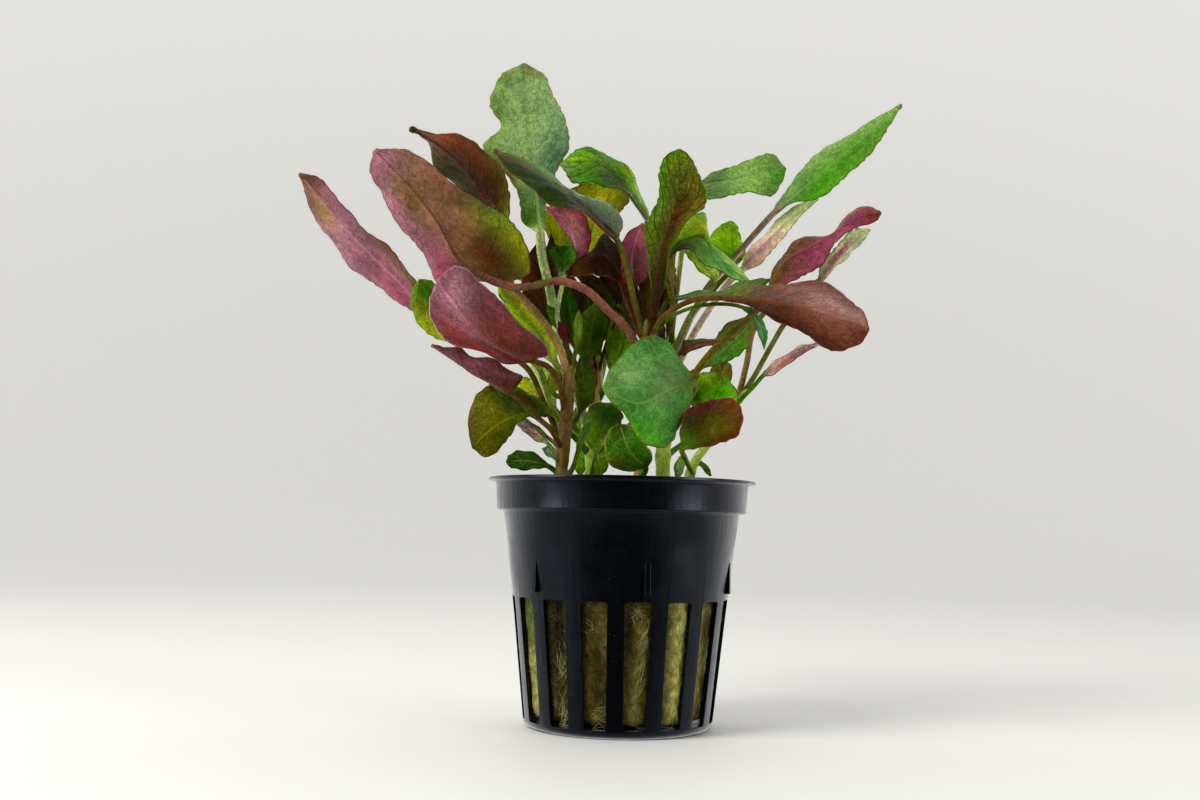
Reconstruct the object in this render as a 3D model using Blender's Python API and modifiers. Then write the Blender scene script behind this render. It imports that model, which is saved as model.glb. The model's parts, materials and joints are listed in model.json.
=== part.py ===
"""Potted cardinal flower: a young plant with purple, olive and green leaves, rooted in a
plug of rock wool that stands in a black slotted net pot.

Units are metres in the meshes and millimetres in the named sizes. +Z is up, the front is -Y,
and the origin is the middle of the pot's underside.
"""
import math
from collections import namedtuple

import bmesh
import bpy
from mathutils import Vector

NAME = "potted_cardinal_flower"
MM = 0.001

# Pot
POT_HEIGHT = 50.0
RIM_RADIUS = 27.5
RIM_THICKNESS = 0.6
COLLAR_RADIUS = 25.9
COLLAR_FOOT = 43.4
SHOULDER_RADIUS = 24.2
SLOT_TOP = 26.1
SLOT_TOP_RADIUS = 22.0
SLOT_FOOT = 1.7
SLOT_FOOT_RADIUS = 19.3
BASE_RADIUS = 17.4
WALL = 1.0
FLOOR = 1.4
POT_STEPS = 48

SLOT_COUNT = 16
SLOT_PHASE = math.radians(9.5)
SLOT_TOP_WIDTH = 5.2
SLOT_FOOT_WIDTH = 4.2
DRAIN_INNER = 8.5
DRAIN_OUTER = 15.2
DRAIN_INNER_WIDTH = 1.8
DRAIN_OUTER_WIDTH = 3.2

LUG_COUNT = 6
LUG_PHASE = math.radians(13.2)
LUG_WIDTH = 1.2
LUG_FOOT = 27.4
LUG_TOP = 33.6

# Rock wool plug
WOOL_TOP = 43.0
WOOL_FOOT = 1.9
WOOL_TOP_RADIUS = 21.4
WOOL_FOOT_RADIUS = 17.0
WOOL_SQUARENESS = 0.32
WOOL_SEGMENTS = 20
WOOL_RINGS = 10

# Leaves and stems are drawn as they show from the front: (across, up) in the upright plane
# through the pot's axis, then the depth behind that plane, all in millimetres.
EYE_DISTANCE = 280.0
EYE_HEIGHT = 40.2

GAP = 0.3
STALK_RADIUS = 0.62
STALK_RINGS = 3
HALF_BLADE = 0.3
KEEL = 0.3
RING_SPACING = 5.0
MIN_BLADE_RINGS = 4
MAX_BLADE_RINGS = 7
BASE_BLEND = 0.16
TIP_SHARE = 0.94
STEM_SIDES_RESOLUTION = 2
STEM_RINGS = 6

Stem = namedtuple("Stem", "name colour foot_radius top_radius points")
Leaf = namedtuple("Leaf", "name colour stem height stalk rib left right")

COLOURS = {
    "pot": (0.012, 0.013, 0.016),
    "wool": (0.23, 0.20, 0.04),
    "stem": (0.24, 0.20, 0.07),
    "pale_stem": (0.36, 0.46, 0.14),
    "purple": (0.22, 0.06, 0.09),
    "maroon": (0.11, 0.03, 0.02),
    "olive": (0.14, 0.15, 0.03),
    "green": (0.06, 0.20, 0.04),
    "dark_green": (0.02, 0.07, 0.02),
    "bright_green": (0.10, 0.30, 0.01),
    "pale_green": (0.15, 0.33, 0.14),
    "pink": (0.50, 0.28, 0.26),
}

STEMS = [
    Stem("stem_left", "stem", 1.25, 1.0,
         [(-12.9, 44.2, -8), (-12.4, 55, -9), (-12.1, 60, -9.5), (-11.7, 65, -10), (-11.3, 70.5, -10.5)]),
    Stem("stem_centre", "stem", 1.3, 0.9,
         [(3.5, 44.2, -5), (4, 60, -6), (4.2, 72, -7), (4.4, 80.5, -7)]),
    Stem("stem_back", "pale_stem", 1.4, 1.0,
         [(-6.6, 44.2, 6), (-6.3, 58, 7), (-5.8, 68, 8), (-5.5, 73, 9)]),
    Stem("stem_middle", "pale_stem", 1.6, 1.1,
         [(8.6, 44.2, 3), (8.4, 57, 4), (9, 70, 5), (9.6, 78.5, 6)]),
    Stem("stem_right", "pale_stem", 1.0, 0.7,
         [(13, 44.2, -4), (14.5, 53, -6), (18, 58.5, -7), (21.5, 64, -8), (23.6, 66.8, -8)]),
]

LEAVES = [
    Leaf("leaf_far_left", "purple", "stem_left", 57,
         [(-16.6, 66, -4), (-20.3, 73, -3), (-30, 79, 0)],
         [(-40, 83, 3), (-47, 90.5, 3), (-54.5, 97.5, 2), (-62, 105, 0), (-69.8, 113.8, -3)],
         [(-46, 85.3, 7), (-53, 89.8, 8), (-61, 97, 7), (-66.5, 105, 4)],
         [(-44, 91, -1), (-49, 96.7, -2), (-55, 102, -3), (-60.5, 107, -4), (-65, 112.6, -4)]),
    Leaf("leaf_left_green", "bright_green", "stem_left", 59.5,
         [(-15.6, 67, -4), (-18.2, 73.5, -5), (-24, 77, -5)],
         [(-31, 78, -5), (-37, 82, -5), (-41, 87, -5), (-43.4, 91.4, -5)],
         [(-36, 77.8, -4), (-41, 79.5, -4), (-45, 84.8, -4), (-45, 89, -4)],
         [(-34, 83, -5), (-37, 88, -5), (-41, 91.2, -5)]),
    Leaf("leaf_left_lime", "bright_green", "stem_left", 69,
         [],
         [(-14.6, 74.5, -4), (-17.8, 80, -3), (-22, 85.5, -2), (-27, 90.5, -1)],
         [(-18, 76, -5), (-22, 81.5, -4), (-26.5, 88, -2)],
         [(-14.8, 79, -3), (-19, 85, -2), (-23.5, 90.3, -1)]),
    Leaf("leaf_big_left", "purple", "stem_centre", 75,
         [(0.5, 81.5, -10), (-3.5, 85.3, -12), (-8.5, 89.8, -14), (-14.5, 91.5, -15), (-20.5, 90.2, -16)],
         [(-25, 90.2, -16), (-35, 95.5, -17), (-40, 103.5, -17), (-46, 111, -15), (-54, 119, -12)],
         [(-31, 91.2, -12), (-40, 90.8, -9), (-43.5, 97.5, -8), (-50, 105.5, -8), (-54.8, 114, -9)],
         [(-20, 93.5, -11), (-21.5, 100, -8), (-28.5, 107.3, -6), (-38, 112.8, -7), (-47, 119.3, -9)]),
    Leaf("leaf_low_left", "purple", "stem_left", 64,
         [(-13.8, 70.5, -14), (-16, 73.4, -17)],
         [(-19, 74.5, -20), (-26, 77, -24), (-32, 82, -27), (-39.5, 91.5, -29)],
         [(-24, 73.9, -17), (-32, 76.5, -19), (-39, 79.5, -22), (-41.2, 86.5, -26)],
         [(-15.8, 76.2, -16), (-20, 81, -17), (-25, 85.5, -19), (-30, 91, -22), (-36, 94.2, -26)]),
    Leaf("leaf_low_left_narrow", "purple", "stem_left", 56,
         [(-15, 60, -13), (-19.5, 64.4, -15)],
         [(-23.5, 67.5, -14), (-30, 70.8, -15), (-35, 73.8, -16), (-40.5, 77.5, -17)],
         [(-21.2, 71.3, -10), (-26, 74, -9), (-33, 76.2, -10), (-38, 77.3, -14)],
         [(-26, 69.6, -8), (-31, 71.8, -7), (-37, 75.2, -11)]),
    Leaf("leaf_hanging_olive", "olive", "stem_left", 58,
         [(-15.5, 60.8, -10)],
         [(-19.5, 63.4, -12), (-24, 62.3, -16), (-28, 59.5, -18), (-31.3, 56, -19)],
         [(-23, 64.4, -12), (-27.7, 69, -13.5), (-31.3, 66, -15), (-32.4, 61, -17)],
         [(-22, 61.2, -14), (-24.2, 57.5, -16), (-28, 54, -18)]),
    Leaf("leaf_hanging_dark", "dark_green", "stem_left", 62,
         [],
         [(-15.2, 63.8, -7), (-20, 66.3, -7), (-24.5, 68, -7), (-28.3, 69.3, -7)],
         [(-16, 65.4, -6), (-20, 68, -5), (-25, 69.8, -6)],
         [(-16.5, 62.6, -8), (-20.5, 63.8, -8.5), (-26, 65.2, -8.5)]),
    Leaf("leaf_rim_left", "green", "stem_left", 51,
         [],
         [(-15.6, 52.7, -9), (-20, 53.6, -11), (-24.2, 53.3, -12)],
         [(-17.5, 55, -8), (-21, 55.8, -9), (-23.6, 54.8, -11)],
         [(-18, 51.8, -11), (-21.5, 51.7, -12), (-23.7, 52.4, -12.5)]),
    Leaf("leaf_top_left", "maroon", "stem_left", 70,
         [(-12.8, 75, -10), (-15.5, 80.5, -9), (-19, 85, -7), (-24, 90.5, -4), (-25.5, 97, -1)],
         [(-26, 103, 0), (-29.5, 108.5, 0), (-33, 113.5, -1), (-38, 118.5, -3), (-46.7, 124, -7)],
         [(-28.5, 104.5, 2), (-34.5, 109.5, 4), (-40.5, 115, 4), (-43, 120.8, 0)],
         [(-24.7, 107, 2), (-25.5, 113.3, 5), (-29.5, 118, 5), (-32.5, 121.6, 4), (-40, 122.8, -1)]),
    Leaf("leaf_top_pale", "pale_green", "stem_back", 58,
         [(-10.5, 70, 4), (-13.8, 80, 4), (-16, 90, 5), (-17.8, 97, 6)],
         [(-18.3, 102, 7), (-19.2, 110, 9), (-20.5, 120, 12), (-21.8, 130, 15), (-22.5, 138.4, 18)],
         [(-22, 103.8, 7), (-23.3, 110, 9), (-27.3, 116, 11), (-31, 119.8, 12), (-27.2, 124.2, 14),
          (-29.8, 129.5, 14), (-27, 136, 17)],
         [(-17, 108, 10), (-15, 115, 11), (-12.5, 120.8, 12), (-14, 127.5, 14), (-16.4, 132, 15),
          (-18, 135.6, 17)]),
    Leaf("leaf_long_folded", "green", "stem_centre", 80,
         [(2.6, 85, -7), (1.5, 89, -8), (0, 95, -8)],
         [(-2, 100.5, -8), (-6, 104.3, -10), (-12, 109.5, -11), (-19, 114.5, -11), (-28.7, 119.4, -10)],
         [(-0.8, 104.3, -1), (-4.5, 108, 0), (-10, 110, 0), (-18, 115.2, -2), (-25, 118.6, -5)],
         [(-5, 103, -11), (-9, 106.2, -14), (-15.5, 107.6, -15), (-21, 111.3, -15), (-26, 115.5, -13)]),
    Leaf("leaf_top_arching", "bright_green", "stem_middle", 77,
         [(9, 88, 7), (6.8, 97, 7)],
         [(4.7, 104.3, 8), (1.5, 109, 9), (-2.5, 113.8, 9), (-7, 117, 8), (-14.5, 116.5, 5)],
         [(3.8, 108, 12), (0.8, 115, 13), (-4.5, 119, 12), (-10.5, 120, 9)],
         [(2.6, 106.8, 7), (0, 110.5, 5), (-6, 112.3, 4), (-11.5, 112.8, 4)]),
    Leaf("leaf_olive_behind", "olive", "stem_back", 73,
         [(-6.5, 83, 13)],
         [(-8.5, 94, 16), (-7.5, 102, 18), (-5, 108, 18), (-1, 111.8, 17)],
         [(-12.5, 97, 17), (-17, 101.5, 18), (-17.3, 106, 19), (-10.5, 112.2, 19)],
         [(-6, 97, 16), (-4.3, 101, 16), (-2, 105, 16), (0.3, 109, 16)]),
    Leaf("leaf_purple_inner", "purple", "stem_back", 71,
         [(-7.5, 82, 7)],
         [(-9.8, 96, 6), (-10.8, 101.5, 5), (-13, 105, 4), (-17.3, 107.4, 3)],
         [(-11.5, 99.5, 7), (-14, 103.2, 7)],
         [(-7.9, 98, 5), (-7.7, 103, 4), (-9.8, 106.6, 3), (-14, 107, 3)]),
    Leaf("leaf_funnel", "dark_green", "stem_left", 65,
         [(-12, 76, -5), (-14.2, 84, -3)],
         [(-13.2, 91.8, -1), (-13, 95, 0), (-12.8, 99, 2)],
         [(-14.5, 93.8, 0), (-16.2, 98.3, 1)],
         [(-11.8, 94.5, -1), (-10.3, 96.3, -1), (-10.9, 98.7, 0)]),
    Leaf("leaf_maroon_curled", "maroon", "stem_centre", 79,
         [(0.5, 87, -4)],
         [(-1.2, 91.8, -3), (-4.5, 96.5, -4), (-8.5, 96.3, -6), (-12.8, 93.2, -8)],
         [(-1.5, 98.5, 0), (-4.3, 102, 0), (-7, 98.6, -3), (-11, 95.6, -7)],
         [(-4, 92.5, -6), (-8, 92.9, -7.5), (-11.5, 92.2, -8.5)]),
    Leaf("leaf_purple_centre", "purple", "stem_centre", 77,
         [(4, 85, 0)],
         [(2, 90.5, 1), (1.3, 97, 3), (3.3, 104.2, 4)],
         [(-2.3, 92.5, 3), (-2.2, 97.5, 4), (-0.3, 101.5, 4)],
         [(4.8, 93, 1), (5, 99, 2), (4.3, 103, 3.5)]),
    Leaf("leaf_tall_olive", "olive", "stem_centre", 78,
         [(6, 83, -8)],
         [(6.3, 88, -8), (7, 95.5, -7), (9.2, 104, -4), (10.8, 111, -2), (10.8, 120.2, 2)],
         [(5, 92, -7), (4, 100, -4), (3.6, 104, -3), (6.6, 110, -1), (6.4, 115, 0), (8, 119, 2)],
         [(8.3, 91, -7), (9.2, 98.5, -6), (12.5, 104, -6), (16.6, 109, -4), (15, 115, -1),
          (12.8, 119.2, 1)]),
    Leaf("leaf_folded_right", "green", "stem_middle", 78,
         [(9.5, 88, 3)],
         [(8, 95.5, 0), (11, 100, 1), (15.5, 101.3, 1), (19, 97.3, -1), (26.6, 91, -5)],
         [(10.5, 103.5, 3), (15.7, 106.6, 5), (17, 101.8, 4), (21, 97.4, 1), (24.5, 94.2, -2)],
         [(11.5, 98.8, -2), (15.5, 96.2, -4), (19.5, 94, -5), (22.7, 92.8, -5)]),
    Leaf("leaf_small_bright", "bright_green", "stem_middle", 71,
         [(14, 84.5, 12), (19, 91, 14)],
         [(22.5, 95.5, 14), (22.3, 100, 15), (21.8, 105, 16)],
         [(19.5, 97.5, 14), (17.3, 101, 16), (19.3, 103.8, 17)],
         [(25, 97.7, 14), (24, 101.5, 15), (23, 104.3, 16)]),
    Leaf("leaf_lime_right", "bright_green", "stem_middle", 75,
         [(12.8, 83, 4), (16.2, 88.7, 4)],
         [(18.6, 92.3, 4), (16, 95.2, 4), (12, 98.8, 4)],
         [(15.2, 94.2, 3), (13, 97, 3)],
         [(19.5, 94.3, 5), (17, 97, 6), (13.5, 99.3, 5)]),
    Leaf("leaf_soft_upper_right", "pale_green", "stem_middle", 78,
         [(10.8, 90, 12), (12.5, 104, 17)],
         [(15, 111.7, 18), (20, 113.3, 19), (26, 114.8, 20), (33.4, 116.3, 21)],
         [(17, 114.9, 19), (22, 116.6, 20), (26, 118.5, 21), (30.5, 119.4, 22)],
         [(17, 109.3, 18), (21, 110.2, 18), (26, 111, 19), (30.5, 110.5, 19), (32.7, 113.8, 20)]),
    Leaf("leaf_big_right", "green", "stem_middle", 73,
         [(12.3, 81, 7), (16.8, 90.3, 7), (22.5, 97, 8), (27, 102.5, 9)],
         [(31, 107, 10), (37, 112.3, 11), (45, 119.3, 12), (57.8, 130.7, 13)],
         [(31.8, 109.5, 14), (36, 115.6, 15), (42.5, 121.6, 16), (50, 126.2, 15)],
         [(34.5, 108.8, 9), (40, 110, 9), (46, 114.7, 10), (51.5, 120.3, 12), (55, 125.7, 13)]),
    Leaf("leaf_pink_right", "pink", "stem_middle", 69,
         [(14.5, 81, 16), (21.3, 91.5, 17)],
         [(24.6, 94.8, 18), (29, 99.8, 19), (34, 105, 20), (40.3, 110.2, 21)],
         [(25, 98, 20), (29, 102.5, 22), (34, 107.8, 23)],
         [(27.5, 95.3, 18), (32, 100.3, 19), (37, 106.7, 20)]),
    Leaf("leaf_right_purple", "purple", "stem_middle", 58,
         [(12.5, 64, -8), (14.4, 71.5, -15), (17.5, 76.2, -15), (22, 81, -13), (27.5, 86, -8)],
         [(30.5, 91, -4), (33.5, 96, -2), (38.5, 99, 0), (43.5, 102.3, 0), (48, 105.6, -1),
          (53.5, 107.2, -2)],
         [(31.3, 96, 1), (35.5, 101, 3), (42.5, 102.6, 4), (45.5, 106.2, 3), (50.5, 108.6, 1)],
         [(35.5, 92.4, -4), (41, 96, -3), (44.2, 101, -3), (48.5, 104.2, -3), (52, 105, -2.5)]),
    Leaf("leaf_right_pale", "pale_green", "stem_right", 66.5,
         [(25.3, 74, -5), (27.2, 83, -1), (33, 89, 3)],
         [(40.5, 92.6, 6), (43.8, 96.8, 7), (47, 100.3, 7), (51, 103.9, 7)],
         [(40.6, 95.5, 6), (43.8, 99.8, 6), (47.5, 103.6, 7)],
         [(43.2, 94.7, 9), (47.5, 98.8, 9), (50.3, 101.8, 8)]),
    Leaf("leaf_front_red", "purple", "stem_centre", 77,
         [(7.3, 83.3, -12), (10, 85.8, -14), (14.5, 88, -16)],
         [(20, 88.5, -18), (28, 88, -22), (36, 86.8, -25), (44, 84.6, -27), (51, 82.3, -28)],
         [(23, 89.6, -15), (29, 91.3, -15), (36, 92.6, -16), (43, 91.4, -19), (49.5, 86.8, -24)],
         [(22, 87.6, -16), (29, 85.7, -17), (36, 81.5, -19), (43, 78, -21), (49, 79.2, -25)]),
    Leaf("leaf_edge_green", "dark_green", "stem_centre", 80,
         [(6.8, 83.8, -3.8)],
         [(9, 87.9, -5), (15, 89, -8), (21, 89.6, -10), (30.3, 92.6, -10)],
         [(14, 89.6, -5), (20, 90, -6), (25.5, 92.6, -7)],
         [(14, 88.2, -10), (22, 89, -12.5), (28, 90.6, -12)]),
    Leaf("leaf_front_centre", "green", "stem_middle", 62,
         [(12, 65, -18), (14.8, 69.5, -26)],
         [(14.2, 70.6, -28), (9, 68.8, -31), (3, 66, -33), (-4.5, 69.3, -33)],
         [(14, 72.5, -27), (11.6, 74.6, -28), (10, 78.7, -29), (6, 80.3, -30), (1.5, 78.2, -31),
          (-3, 73, -32)],
         [(14.2, 66.3, -28), (11.6, 63.5, -29), (11, 58.8, -30), (7.5, 56.7, -31), (3.8, 58, -32),
          (0.5, 63.3, -33), (-3.5, 67, -33)]),
    Leaf("leaf_front_maroon", "maroon", "stem_right", 52,
         [(12.8, 55, -16)],
         [(12.5, 57, -22), (16.5, 60, -25), (20.5, 63, -26), (24.4, 65.8, -26)],
         [(11.7, 61, -23), (13.5, 65.2, -24), (18, 67.1, -25), (22.3, 67.5, -25.5)],
         [(15.5, 56.8, -24), (20, 57.9, -26), (24, 59.8, -27), (24.9, 62.6, -27)]),
    Leaf("leaf_round_bright", "bright_green", "stem_right", 60,
         [],
         [(16.5, 64, -13), (18.8, 67.5, -13), (21, 72, -13)],
         [(14.3, 65.5, -12), (14.4, 69.5, -12), (16.3, 72.7, -12), (18.8, 73, -12)],
         [(20.5, 64.5, -13), (24, 66.5, -13), (23, 70, -13)]),
    Leaf("leaf_rim_centre", "green", "stem_centre", 50,
         [],
         [(4.8, 52.8, -11), (1.5, 56, -16), (-0.8, 61.7, -18)],
         [(0.5, 51.8, -13), (-3, 53.5, -15), (-3.8, 57, -16), (-3, 60.5, -17)],
         [(6.3, 54.8, -12), (4.5, 58, -16), (2, 61.2, -17)]),
    Leaf("leaf_olive_right", "olive", "stem_middle", 67,
         [(12.5, 71.5, 3)],
         [(16.3, 74, 3), (21, 78, 4), (27.8, 84.7, 5)],
         [(18, 77.5, 5), (19.8, 81.8, 6), (23.5, 84.2, 6)],
         [(19.5, 74.4, 3), (24, 76.5, 3), (26.8, 80, 4)]),
    Leaf("leaf_olive_small", "olive", "stem_right", 62,
         [],
         [(19.6, 68.5, -3), (20.5, 72.5, -2), (21.4, 75.2, -2)],
         [(17.8, 72.5, -2), (19.3, 74.9, -2)],
         [(22.3, 71.5, -3), (22.5, 74, -3)]),
    Leaf("leaf_narrow_right", "purple", "stem_right", 66,
         [(26.6, 69.5, -10)],
         [(29, 72.3, -10), (33, 75.8, -11), (37, 78.2, -11), (41.5, 79.6, -11)],
         [(30.5, 74.7, -8), (36, 78.4, -8)],
         [(31, 72.6, -13), (36.5, 76.5, -13)]),
    Leaf("leaf_behind_red", "olive", "stem_right", 66.8,
         [(27.3, 72.5, -7), (30.5, 78.5, -6)],
         [(34, 84, -4), (39, 86, 1), (46, 86, 8)],
         [(36, 88, 0), (42, 90, 6)],
         [(38, 83.2, 0), (44, 82, 7)]),
    Leaf("leaf_small_maroon", "maroon", "stem_middle", 72,
         [],
         [(11.8, 77, 0), (15, 78.6, -2), (23, 79.8, -4)],
         [(12.4, 79.4, 0), (16, 79.8, -1)],
         [(12, 75.9, 0), (14.5, 77.4, -2)]),
    Leaf("leaf_dark_by_stem", "maroon", "stem_left", 60,
         [],
         [(-9, 64, -7), (-9, 70, -7), (-8.9, 76.8, -6)],
         [(-10, 67, -6), (-10.2, 72, -6)],
         [(-6.5, 66, -8), (-5.5, 70.5, -8), (-7, 75.8, -7)]),
    Leaf("leaf_dark_left", "dark_green", "stem_left", 66.5,
         [],
         [(-14.6, 67.8, -11.5), (-14.4, 70.3, -12), (-13.9, 73.4, -12)],
         [(-15.9, 68.8, -11.5), (-15.6, 71.6, -12)],
         [(-13.3, 69.2, -11.7), (-13, 71.8, -12)]),
    Leaf("leaf_faint_purple", "pink", "stem_left", 54,
         [],
         [(-15.8, 57.5, -6), (-19.5, 60.8, -6), (-22.8, 62.2, -6)],
         [(-19, 61.9, -5), (-21.5, 62.6, -5)],
         [(-18, 57.8, -7), (-21.5, 60.3, -7)]),
    Leaf("leaf_dark_low", "dark_green", "stem_back", 50,
         [],
         [(-5.5, 55.5, 2), (-4.5, 61, 0), (-1.5, 66.2, -1)],
         [(-8.5, 60, 1), (-6.5, 65.5, 0)],
         [(-2.5, 58.5, 1), (0, 63, -1)]),
    Leaf("leaf_inner_left", "dark_green", "stem_back", 69,
         [],
         [(-7.8, 74.5, 4), (-7, 81, 2), (-6, 87.5, 3)],
         [(-9.8, 77, 4), (-9.5, 84, 3)],
         [(-4.8, 77.5, 3), (-3.5, 84, 3)]),
    Leaf("leaf_inner_right", "dark_green", "stem_back", 66,
         [],
         [(-2.5, 72, 6), (0, 80, 6), (-1.5, 87, 7)],
         [(-4, 76, 6), (-3.5, 83, 7)],
         [(1.5, 76, 5), (2.2, 83, 6)]),
    Leaf("leaf_back_left", "purple", "stem_back", 70,
         [(-12, 84, 17)],
         [(-22, 92, 23), (-32, 99, 32), (-42, 107, 39), (-50, 114, 43)],
         [(-30, 93.5, 31), (-40, 98, 40), (-47, 106, 43)],
         [(-26, 101, 22), (-36, 109, 31)]),
    Leaf("leaf_back_top", "green", "stem_back", 67.5,
         [(-13.5, 80, 13), (-17, 95, 18)],
         [(-19, 108, 23), (-20.5, 118, 30), (-20.5, 131, 36)],
         [(-24, 116, 24), (-24.5, 124, 30)],
         [(-15.5, 117, 33), (-16, 125, 39)]),
    Leaf("leaf_back_centre", "olive", "stem_middle", 73.5,
         [(9.3, 86, 16)],
         [(9.8, 97, 22), (10, 106, 26), (10.5, 116, 28)],
         [(8, 102, 20), (8.5, 111, 22)],
         [(12, 103, 29), (13, 112, 34)]),
    Leaf("leaf_back_right", "purple", "stem_middle", 62,
         [(10, 75, 16), (16.5, 87.9, 23)],
         [(26, 89, 29), (35, 88, 39), (45, 85, 48)],
         [(30, 91, 31), (39, 91.5, 41)],
         [(30, 85.5, 36), (40, 81, 46)]),
    Leaf("leaf_back_low_left", "green", "stem_back", 64,
         [(-13, 76, 15)],
         [(-19, 79.5, 22), (-28, 82, 33), (-37, 86, 42)],
         [(-24, 78, 30), (-33, 79.5, 41)],
         [(-24, 84.5, 24), (-32, 90, 35)]),
    Leaf("leaf_back_low_centre", "olive", "stem_back", 55,
         [(-1, 60, 18)],
         [(2, 62, 26), (4, 68, 37), (5, 76, 47)],
         [(-1, 66, 31), (-1, 73, 43)],
         [(7, 64, 32), (10, 72, 43)]),
    Leaf("leaf_back_low_right", "green", "stem_middle", 55,
         [(14, 59, 10)],
         [(18, 62, 17), (20, 66, 27), (21.5, 71, 36)],
         [(16.5, 66, 25), (17, 70, 33)],
         [(22, 64.5, 25), (23, 69, 34)]),
    Leaf("leaf_back_upper", "bright_green", "stem_back", 65,
         [(-3, 84, 20)],
         [(-5.5, 98, 27), (-7, 108, 31), (-6, 117, 33)],
         [(-9.5, 105, 25), (-10.5, 112, 27)],
         [(-4.5, 105, 36), (-3.5, 112, 40)]),
]


def clear_scene():
    for item in list(bpy.data.objects):
        bpy.data.objects.remove(item, do_unlink=True)


def new_collection(name):
    collection = bpy.data.collections.new(name)
    bpy.context.scene.collection.children.link(collection)
    return collection


def finish(name, colour, roughness):
    material = bpy.data.materials.new(name)
    material.use_nodes = True
    shader = material.node_tree.nodes["Principled BSDF"]
    shader.inputs["Base Color"].default_value = (*COLOURS[colour], 1.0)
    shader.inputs["Roughness"].default_value = roughness
    shader.inputs["Metallic"].default_value = 0.0
    material.diffuse_color = (*COLOURS[colour], 1.0)
    return material


def mesh_object(name, fill, collection):
    """New object whose mesh is filled by the function fill from an empty bmesh."""
    mesh = bpy.data.meshes.new(name)
    shape = bmesh.new()
    fill(shape)
    bmesh.ops.recalc_face_normals(shape, faces=shape.faces)
    shape.to_mesh(mesh)
    shape.free()
    item = bpy.data.objects.new(name, mesh)
    collection.objects.link(item)
    return item


def seen(across, up, depth):
    """Point that shows at (across, up) from the front and stands depth behind the axis."""
    scale = (EYE_DISTANCE + depth) / EYE_DISTANCE
    return Vector((across * scale, depth, EYE_HEIGHT + (up - EYE_HEIGHT) * scale)) * MM


def along(points, share):
    """Point at a share of the way along the smooth curve through the points."""
    reach = [0.0]
    for before, after in zip(points, points[1:]):
        reach.append(reach[-1] + (after - before).length)
    place = min(max(share, 0.0), 1.0) * reach[-1]
    step = 0
    while step < len(points) - 2 and place > reach[step + 1]:
        step += 1

    def slope(index):
        low = max(index - 1, 0)
        high = min(index + 1, len(points) - 1)
        return (points[high] - points[low]) / (reach[high] - reach[low])

    span = reach[step + 1] - reach[step]
    s = (place - reach[step]) / span
    blend_start = (1 + 2 * s) * (1 - s) ** 2
    blend_end = s * s * (3 - 2 * s)
    lean_start = s * (1 - s) ** 2 * span
    lean_end = s * s * (s - 1) * span
    return (points[step] * blend_start + points[step + 1] * blend_end
            + slope(step) * lean_start + slope(step + 1) * lean_end)


def heading(points, share):
    nudge = 0.02
    return (along(points, share + nudge) - along(points, share - nudge)).normalized()


def stem_at(stem, height):
    """Middle and radius of a stem where it shows at the given height."""
    points = stem.points
    step = 0
    while step < len(points) - 2 and height > points[step + 1][1]:
        step += 1
    low, high = points[step], points[step + 1]
    share = (height - low[1]) / (high[1] - low[1])
    middle = seen(*(a + (b - a) * share for a, b in zip(low, high)))
    rise = (height - points[0][1]) / (points[-1][1] - points[0][1])
    radius = stem.foot_radius + (stem.top_radius - stem.foot_radius) * rise
    return middle, radius * MM


def stalk_start(leaf, stem, toward):
    """End of a leaf stalk, beside its stem on the side that faces the next point."""
    middle, radius = stem_at(stem, leaf.height)
    side = (toward - middle) * Vector((1, 1, 0))
    return middle + side.normalized() * (radius + (STALK_RADIUS + GAP) * MM)


def stalk_ring(centre, direction, across):
    side = (across - direction * across.dot(direction)).normalized()
    normal = direction.cross(side)
    radius = STALK_RADIUS * MM
    return [centre - side * math.cos(step * math.pi / 4) * radius
            + normal * math.sin(step * math.pi / 4) * radius for step in range(8)]


def blade_ring(left, rib, right, direction, share):
    """Thin lens across the blade: both edges, the rib and the middle of each half."""
    normal = direction.cross(right - left).normalized()
    fade = max(0.0, 1 - share / BASE_BLEND)
    half = (HALF_BLADE + (STALK_RADIUS - HALF_BLADE) * fade) * MM
    keel = half + KEEL * (1 - share) * MM
    left_middle = (left + rib) / 2
    right_middle = (right + rib) / 2
    return [left, left_middle + normal * half, rib + normal * half, right_middle + normal * half,
            right, right_middle - normal * half, rib - normal * keel, left_middle - normal * half]


def leaf_rings(leaf, stem):
    rib = [seen(*point) for point in leaf.rib]
    base, tip = rib[0], rib[-1]
    left = [seen(*point) for point in leaf.left]
    right = [seen(*point) for point in leaf.right]
    across = right[0] - left[0]
    stalk = [seen(*point) for point in leaf.stalk] + [base]
    stalk.insert(0, stalk_start(leaf, stem, stalk[0]))
    base_direction = heading(rib, 0.0)
    side = (across - base_direction * across.dot(base_direction)).normalized() * STALK_RADIUS * MM
    left = [base - side] + left + [tip]
    right = [base + side] + right + [tip]

    rings = []
    stalk_length = sum((b - a).length for a, b in zip(stalk, stalk[1:]))
    stalk_rings = STALK_RINGS + len(leaf.stalk) // 2 if stalk_length > RING_SPACING * MM else 1
    for step in range(stalk_rings):
        share = step / stalk_rings
        rings.append(stalk_ring(along(stalk, share), heading(stalk, share), across))
    blade_length = sum((b - a).length for a, b in zip(rib, rib[1:]))
    blade_rings = round(blade_length / (RING_SPACING * MM))
    blade_rings = min(max(blade_rings, MIN_BLADE_RINGS), MAX_BLADE_RINGS)
    for step in range(blade_rings):
        share = TIP_SHARE * step / (blade_rings - 1)
        rings.append(blade_ring(along(left, share), along(rib, share), along(right, share),
                                heading(rib, share), share))
    return rings, tip


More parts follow.
